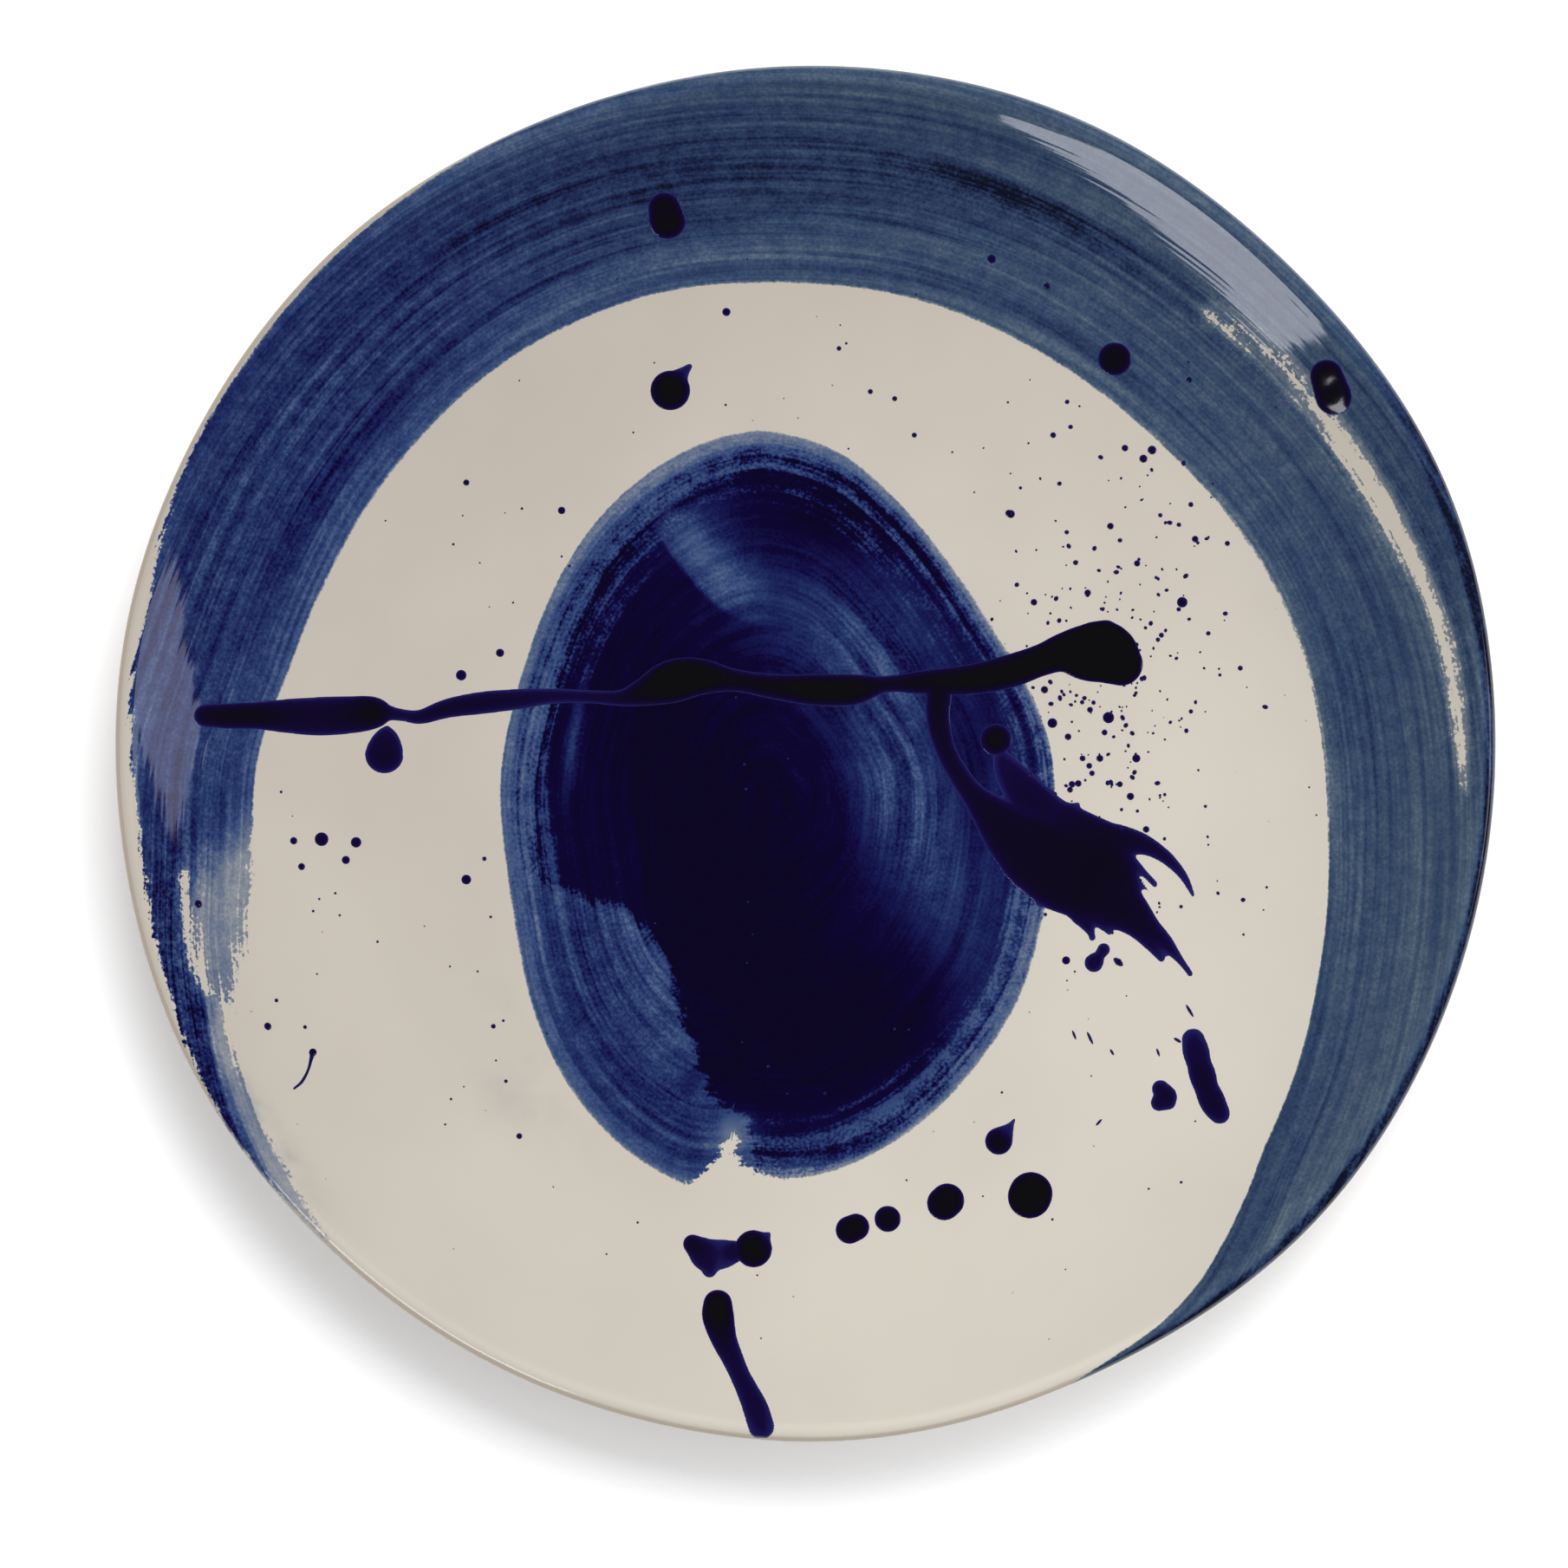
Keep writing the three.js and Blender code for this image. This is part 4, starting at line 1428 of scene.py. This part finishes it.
POOLS: tuple[Pool, ...] = (
    Pool(
        "poured_line",
        (
            (
                (-153, 9.7, 2.9, 0.7), (-147, 9.6, 3.3, 0.8), (-140, 9.7, 3.5, 0.8), (-132, 9.6, 4.4, 0.55),
                (-124, 9.5, 5.0, 0.5), (-116, 9.9, 4.8, 0.6), (-110.5, 10.4, 4.2, 0.85),
                (-106.5, 10.4, 2.1, 0.7), (-102.5, 9.8, 1.6, 0.5), (-98, 9.4, 1.9, 0.6),
                (-91, 11.6, 2.5, 0.6), (-82, 13, 2.9, 0.55), (-72, 14, 2.6, 0.5), (-64, 14.7, 2.0, 0.5),
                (-55, 14.5, 1.7, 0.6), (-47, 14.2, 2.1, 0.7), (-41, 15.8, 3.6, 0.9), (-34, 18.4, 5.5, 1.1),
                (-27, 19.6, 4.7, 1.1), (-18, 18.7, 2.9, 0.9), (-8, 17.1, 3.2, 0.9), (2, 16.3, 4.0, 1.0),
                (12, 16.3, 4.0, 1.0), (20.5, 17.7, 2.2, 0.8), (30, 18.2, 3.1, 0.9), (42, 18.9, 3.9, 1.0),
                (52, 21, 4.3, 1.0), (60, 23.8, 4.1, 1.1), (66, 25.8, 5.0, 1.2), (72, 25.8, 7.2, 1.3),
                (76.5, 25.8, 7.8, 1.4), (80.5, 22.9, 5.6, 1.3),
            ),
            ((74.5, 29, 2.6, 1.1), (76.8, 31.6, 2.3, 1.0)),
        ),
        cell=0.5,
    ),
    Pool(
        "splash",
        (
            (
                (34.2, 16.5, 3.4, 0.8), (33.8, 11, 3.2, 0.75), (34.4, 5.5, 2.9, 0.7), (36.2, 0, 2.7, 0.65),
                (38.9, -5, 2.8, 0.6), (42.6, -10.2, 3.2, 0.6), (47, -15, 4.8, 0.6), (52.5, -20.5, 7.2, 0.6),
                (59, -25.5, 9.8, 0.6),
            ),
            (
                (49.4, 0.4, 1.4, 0.3), (51, -3, 3.2, 0.34), (54, -7.4, 4.6, 0.38), (57.6, -11.6, 5.2, 0.44),
                (62, -15.6, 5.4, 0.4), (67, -20, 6, 0.5),
            ),
            ((60, -25, 10.2, 0.62), (66, -28, 12.2, 0.62), (72.4, -30.8, 11.6, 0.66), (77, -35, 8.6, 0.6)),
            ((66, -18.5, 6.0, 0.5), (75, -22.2, 5.6, 0.6), (80, -22.4, 4.0, 0.6)),
            (
                (80, -22.2, 4.0, 0.6), (84, -22.6, 3.2, 0.55), (88.2, -24, 2.3, 0.55),
                (92.7, -27.1, 1.7, 0.5), (96.5, -31.4, 1.15, 0.45), (98.9, -36.1, 0.6, 0.4),
            ),
            (
                (80, -26.5, 3.4, 0.6),
                (84, -28.4, 1.5, 0.5),
                (86.6, -30.7, 0.95, 0.5),
                (89.1, -33.3, 0.85, 0.45),
            ),
            ((80, -30, 3.2, 0.6), (84.3, -32.2, 0.85, 0.5), (88.4, -35.9, 0.3, 0.3)),
            (
                (76, -36, 8.0, 0.62), (82, -40, 5.6, 0.6), (87, -44.6, 3.7, 0.55), (91.5, -48.1, 2.3, 0.5),
                (95.3, -52.3, 1.1, 0.45), (98.2, -56.2, 0.8, 0.45),
            ),
            ((86, -46, 2.2, 0.5), (90.8, -52.1, 1.1, 0.4)),
            ((70, -40, 3.4, 0.55), (72.6, -45, 1.3, 0.45), (73.2, -47, 0.9, 0.4)),
            ((75, -40, 3.8, 0.5), (77.6, -45.6, 0.8, 0.35)),
            ((62, -36, 3, 0.5), (59.4, -38.6, 0.5, 0.3)),
            ((60, -14, 2.4, 0.4), (63.2, -9.6, 0.4, 0.3)),
            ((67, -16, 2.6, 0.45), (69.6, -12.7, 0.5, 0.3)),
        ),
        cell=0.5,
    ),
    Pool("splash_blob", (((73.6, -53.3, 2.5, 0.5), (75, -51.5, 1.5, 0.45), (76.1, -49.9, 1.7, 0.5)),)),
    Pool(
        "side_bar",
        (
            (
                (98.9, -73.0, 3.1, 0.3), (99.6, -75.9, 3.5, 0.4), (100.4, -79, 3.25, 0.45),
                (101.3, -82, 3.5, 0.5), (102.3, -85.2, 3.2, 0.5), (103.5, -88, 3.45, 0.5),
                (104.6, -90.2, 3.2, 0.5), (105.6, -91.7, 2.8, 0.4),
            ),
        ),
    ),
    Pool(
        "bow_left_drop",
        (
            ((-28.7, -125, 2.5, 0.8), (-26, -127, 3.6, 0.5)),
            ((-25.3, -127.8, 4.0, 0.45), (-21.8, -127.7, 4.0, 0.24), (-18.4, -127, 3.0, 0.5)),
            ((-24.6, -129, 3.0, 0.4), (-24.4, -131.8, 1.9, 0.4)),
        ),
    ),
    Pool(
        "bow_right_drop",
        (((-13.2, -126.2, 4.8, 1.0),), ((-11, -124.2, 1.8, 0.8), (-9.4, -122.6, 0.9, 0.5))),
        dimple=0.15,
    ),
    Pool(
        "lower_drip",
        (
            (
                (-22.3, -140.3, 3.7, 1.1), (-22.2, -143.5, 4.1, 1.0), (-20.8, -149, 3.4, 0.6),
                (-18.6, -154, 2.9, 0.45), (-16.6, -158.5, 2.7, 0.4), (-14.4, -163, 3.0, 0.4),
                (-12.6, -167, 3.4, 0.38), (-11.2, -171.4, 3.4, 0.3),
            ),
        ),
    ),
    Pool(
        "chain_drip",
        (
            ((-125.5, -76.1, 1.0, 0.5),),
            (
                (-125.9, -77.6, 0.5, 0.35),
                (-126.7, -80.6, 0.4, 0.3),
                (-128.3, -83.6, 0.45, 0.3),
                (-130.3, -85.4, 0.35, 0.25),
            ),
        ),
        cell=0.2,
        shoulder=0.3,
    ),
    Pool("band_drop_top", (((-35.9, 139, 4.2, 0.9), (-35.1, 135.8, 4.7, 1.0)),), dimple=0.15),
    Pool("band_drop_right", (((78.9, 100.6, 4.3, 1.0),),), dimple=0.12),
    Pool("band_drop_far_right", (((132.9, 96.2, 4.3, 0.9), (134.7, 91, 4.7, 0.9)),), dimple=0.12),
    Pool(
        "upper_drop",
        (((-34.4, 92.6, 5.1, 1.0),), ((-31.6, 96.6, 2.0, 0.6), (-29.4, 98.8, 0.8, 0.4))),
        dimple=0.1,
    ),
    Pool("teardrop", (((-107.3, -0.1, 5.0, 0.5), (-106.9, 3, 3.6, 0.45), (-106.6, 6.4, 0.9, 0.4)),)),
    Pool("egg_drop", (((48.6, 3.6, 4.1, 0.9),),)),
    Pool("row_drop_1", (((11.3, -121.4, 3.6, 1.0), (12.9, -120.7, 3.5, 1.0)),)),
    Pool("row_drop_2", (((21, -118.6, 3.4, 1.0),),), dimple=0.1),
    Pool("row_drop_3", (((35.4, -114.6, 4.4, 1.05), (36.2, -113.9, 4.4, 1.05)),), dimple=0.2),
    Pool("row_drop_4", (((57.2, -112.9, 5.6, 1.2), (57.5, -112.2, 5.6, 1.2)),), dimple=0.2),
    Pool(
        "tailed_drop",
        (
            ((49.3, -98.8, 3.5, 0.85),),
            ((50.8, -97, 2.3, 0.3), (52.2, -95, 1.1, 0.25), (53.7, -92.5, 0.4, 0.2)),
        ),
    ),
    Pool(
        "side_drop",
        (
            ((90.6, -85.4, 2.3, 0.5), (92, -87.3, 2.8, 0.55)),
            ((90.2, -89, 2.2, 0.5), (92.6, -88.9, 1.9, 0.45)),
        ),
    ),
)

SPOTS: Points = (
    (-20.1, 112.6, 1.1), (47.5, 126.1, 1.2), (-62.1, 62, 1), (-77.8, 25.7, 1.1), (-87.7, 20, 1.4),
    (52.4, 61.1, 1.1), (96.1, 38.6, 1.4), (-123.3, -21.8, 1.8), (-114.5, -22.6, 1.4), (-117.1, -27.1, 1.1),
    (-86.4, -32.1, 1.3), (77.3, 9.2, 1.5), (63, 7.8, 1.3), (84.4, -1.2, 1.1), (66.5, -52.7, 1.1),
)


@dataclass
class Spatter:
    """The fine spots that flew off the brush, each a low bead of glaze."""

    seed: int = 11
    # x, y and radius of the beads that the eye picks out.
    beads: Points = (
        (61.6, 119.2, 0.9), (-86.4, 69.1, 0.85), (-130.4, -22.2, 1.0), (-128.4, -28.8, 0.95),
        (-137, -69.5, 1.05), (-163.3, -35.5, 0.95), (-154.7, -38.3, 1.1), (79.8, -53.1, 0.95),
        (-72.9, -97.5, 0.8), (81.5, 77.9, 0.9), (86.2, 75.2, 1.1), (88.4, 77.4, 1.2), (77.8, 58, 0.9),
        (84.6, 48.5, 0.85), (68.9, 48.7, 0.7), (72, 41, 0.9), (58.3, 38.6, 0.9), (99.4, 54.7, 0.9),
        (107.6, 53.6, 0.7), (98.3, 63.5, 0.7), (110.9, 21.8, 0.7), (61, 16.3, 1.0), (67, 4.3, 0.9),
        (63.2, 81.2, 0.8), (51.9, 61.3, 0.95), (16.6, 92.3, 0.7), (22.8, 90.5, 0.7), (27.8, 81.2, 0.7),
        (8.6, 103.3, 0.65), (97.9, 95.3, 0.8), (-134.8, -62.9, 0.55), (-127.5, -69.7, 0.55),
        (-79.5, -69.5, 0.65), (-76.3, -83.5, 0.5), (-81.8, -26.8, 0.6), (75.1, -1.2, 0.95),
        (70.7, -1.2, 0.8), (72.4, -3.1, 0.8), (73.1, -5, 0.75), (68, -7.8, 0.9), (69.6, -7.6, 0.9),
        (67.5, -9.2, 0.8), (82.9, -10.9, 1.0), (80.2, -7.8, 0.8), (76.3, 5.4, 0.8), (72.6, 11.2, 0.8),
        (86.9, -19.3, 0.9), (90.8, 30.2, 0.7), (95.8, -39, 0.5), (61.2, -41, 0.5),
    )
    streaks: Points = (
        (97.2, -64.2, 98.8, -66.9, 0.42), (72, -71.2, 73.2, -73.8, 0.4), (68.2, -70.8, 68.9, -72.6, 0.35),
        (77.9, -75.6, 78.5, -76.6, 0.35), (89.7, -75.4, 90.2, -76.9, 0.35), (94.3, -72.7, 95.5, -73.4, 0.45),
        (79.2, -52.6, 80.4, -53.6, 0.8), (74.3, -94.6, 75.4, -93.4, 0.35),
    )
    mist_count: int = 260
    mist_centre: tuple[float, float] = (79.0, 22.0)
    mist_spread: tuple[float, float] = (14.0, 30.0)
    stray_count: int = 150

    def make(self, form: PlateForm, material: bpy.types.Material) -> bpy.types.Object:
        """Builds all the spatter as one piece.

        Args:
            form: The plate it lies on.
            material: Its finish.

        Returns:
            The new piece.
        """
        rng = random.Random(self.seed)
        beads = [(*bead, 0.0, 1.0) for bead in self.beads]
        for x0, y0, x1, y1, half in self.streaks:
            length = math.hypot(x1 - x0, y1 - y0)
            turn = math.atan2(y1 - y0, x1 - x0)
            beads.append(((x0 + x1) / 2, (y0 + y1) / 2, half, turn, 1 + length / (2 * half)))
        for _ in range(self.mist_count):
            x = rng.gauss(self.mist_centre[0], self.mist_spread[0])
            y = rng.gauss(self.mist_centre[1], self.mist_spread[1])
            beads.append(
                (x, y, rng.choice((0.22, 0.28, 0.34, 0.45, 0.6)), rng.uniform(0, 3), rng.uniform(1, 1.4))
            )
        for _ in range(self.stray_count):
            reach = 150 * math.sqrt(rng.random())
            turn = rng.uniform(0, 2 * math.pi)
            beads.append((reach * math.cos(turn), reach * math.sin(turn), rng.uniform(0.18, 0.4), 0.0, 1.0))
        plan = VIEW.placed(np.array([bead[:2] for bead in beads]), form)
        heights = form.surface_height(plan)
        drop = bmesh.new()
        bmesh.ops.create_uvsphere(drop, u_segments=10, v_segments=6, radius=1)
        bead_mesh = bpy.data.meshes.new("bead")
        drop.to_mesh(bead_mesh)
        drop.free()
        work = bmesh.new()
        for (_, _, half, turn, stretch), (x, y), height in zip(beads, plan, heights):
            matrix = (
                Matrix.Translation((x, y, height))
                @ self.tilt(form, x, y)
                @ Matrix.Rotation(turn, 4, "Z")
                @ Matrix.Diagonal((half * stretch, half, min(0.3, 0.32 * half) + 0.06, 1))
            )
            laid = bead_mesh.copy()
            laid.transform(matrix)
            work.from_mesh(laid)
            bpy.data.meshes.remove(laid)
        bpy.data.meshes.remove(bead_mesh)
        piece = finish_piece("fine_spatter", work, (), material)
        rows = plan_of(piece.data)
        above = np.clip(rows[:, 2] - form.surface_height(rows[:, :2]), 0, 1)
        put_attribute(piece.data, "pool_depth", above * 0.8)
        return piece

    @staticmethod
    def tilt(form: PlateForm, x: float, y: float) -> Matrix:
        """Gives the turn that lays a flat bead on the slope at a point.

        Args:
            form: The plate.
            x: The point's place across.
            y: The point's place up.

        Returns:
            The turn.
        """
        step = 0.5
        here, east, north = form.surface_height(np.array([(x, y), (x + step, y), (x, y + step)]))
        normal = Vector((-(east - here) / step, -(north - here) / step, 1)).normalized()
        return Vector((0, 0, 1)).rotation_difference(normal).to_matrix().to_4x4()


# ---------------------------------------------------------------- studio


@dataclass
class Studio:
    """A white table, a large soft key from the far right, two low softboxes and the camera overhead."""

    lens_mm: float = 120.0
    sensor_mm: float = 36.0
    surround: float = 0.6
    surround_mirrored: float = 0.05

    def build(self) -> None:
        """Sets the floor, the lights and the camera."""
        self.floor()
        self.lights()
        self.world()
        self.camera()

    def floor(self) -> None:
        """Lays a plain white floor, far wider than the picture."""
        work = bmesh.new()
        bmesh.ops.create_grid(work, x_segments=1, y_segments=1, size=6.0)
        mesh = bpy.data.meshes.new("studio_floor")
        work.to_mesh(mesh)
        work.free()
        material = bpy.data.materials.new("matt_white_paper")
        material.use_nodes = True
        shader = material.node_tree.nodes["Principled BSDF"]
        shader.inputs["Base Color"].default_value = (0.93, 0.93, 0.93, 1)
        shader.inputs["Roughness"].default_value = 1.0
        shader.inputs["Specular IOR Level"].default_value = 0.0
        mesh.materials.append(material)
        floor = bpy.data.objects.new("studio_floor", mesh)
        bpy.context.scene.collection.objects.link(floor)

    def lights(self) -> None:
        """Adds the lights. Only the two low softboxes show in the glaze; the others are hidden from glossy
        rays.
        """
        # Name, compass and height in degrees, distance, width and height in m, roll in degrees, watts,
        # red and green against blue, mirrored.
        table = (
            ("key", 72, 60, 2.2, 1.2, 1.2, 0, 40.0, 1.0, False),
            ("side_fill", -5, 50, 0.95, 0.7, 0.7, 0, 2.0, 1.0, False),
            ("right_softbox", 0.5, 28.0, 1.2, 0.4, 0.25, 40, 0.7, 0.84, True),
            ("front_left_strip", 233.5, 28.6, 1.2, 0.64, 0.25, -13, 2.9, 0.94, True),
        )
        for name, compass, height, distance, wide, tall, roll, watts, warmth, mirrored in table:
            light = bpy.data.lights.new(name, "AREA")
            light.shape = "RECTANGLE"
            light.size = wide
            light.size_y = tall
            light.energy = watts
            light.color = (warmth, warmth, 1.0)
            lamp = bpy.data.objects.new(name, light)
            around, up = math.radians(compass), math.radians(height)
            way = Vector((math.cos(up) * math.cos(around), math.cos(up) * math.sin(around), math.sin(up)))
            lamp.location = way * distance
            turned = way.to_track_quat("Z", "Y").to_matrix() @ Matrix.Rotation(math.radians(roll), 3, "Z")
            lamp.rotation_euler = turned.to_euler()
            lamp.visible_glossy = mirrored
            bpy.context.scene.collection.objects.link(lamp)

    def world(self) -> None:
        """Sets an even white surround, which the glaze mirrors only faintly."""
        world = bpy.data.worlds.new("white_surround")
        world.use_nodes = True
        tree = world.node_tree
        background = tree.nodes["Background"]
        background.inputs["Color"].default_value = (1, 1, 1, 1)
        ray = add_node(tree, "LightPath")
        less = self.surround_mirrored - self.surround
        strength = add_node(
            tree,
            "Math",
            {0: ray.outputs["Is Glossy Ray"], 1: less, 2: self.surround},
            operation="MULTIPLY_ADD",
        )
        tree.links.new(strength.outputs[0], background.inputs["Strength"])
        bpy.context.scene.world = world

    def camera(self) -> None:
        """Places the camera at the viewpoint, nearly overhead."""
        view = bpy.data.cameras.new("overhead_camera")
        view.lens = self.lens_mm
        view.sensor_width = self.sensor_mm
        camera = bpy.data.objects.new("overhead_camera", view)
        camera.location = Vector(VIEW.eye) * MM
        camera.rotation_euler = (math.pi / 2 - math.radians(VIEW.elevation), 0, 0)
        bpy.context.scene.collection.objects.link(camera)
        bpy.context.scene.camera = camera
        bpy.context.scene.view_settings.view_transform = "Standard"


def main() -> None:
    """Builds the plate piece by piece, then the studio round it."""
    logging.basicConfig(level=logging.INFO, format="%(name)s: %(message)s")
    form = PlateForm()
    blank = PlateBlank(form)
    blank.make_clay(BareStoneware().make())
    back = blank.make_back(CreamGlaze().make(), BrushedCobalt().make("cream_glaze_with_painted_lip"))
    face = PaintedFace(form)
    face.make(BrushedCobalt().make())
    face.wrap(back.data)
    pooled = PooledCobalt().make()
    for pool in POOLS:
        pool.make(form, pooled)
    for number, (x, y, half) in enumerate(SPOTS, start=1):
        Pool(f"spot_{number:02d}", (((x, y, half, 0.42),),), cell=0.2, shoulder=0.45).make(form, pooled)
    Spatter().make(form, pooled)
    Studio().build()
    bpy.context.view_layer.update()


if __name__ == "__main__":
    main()
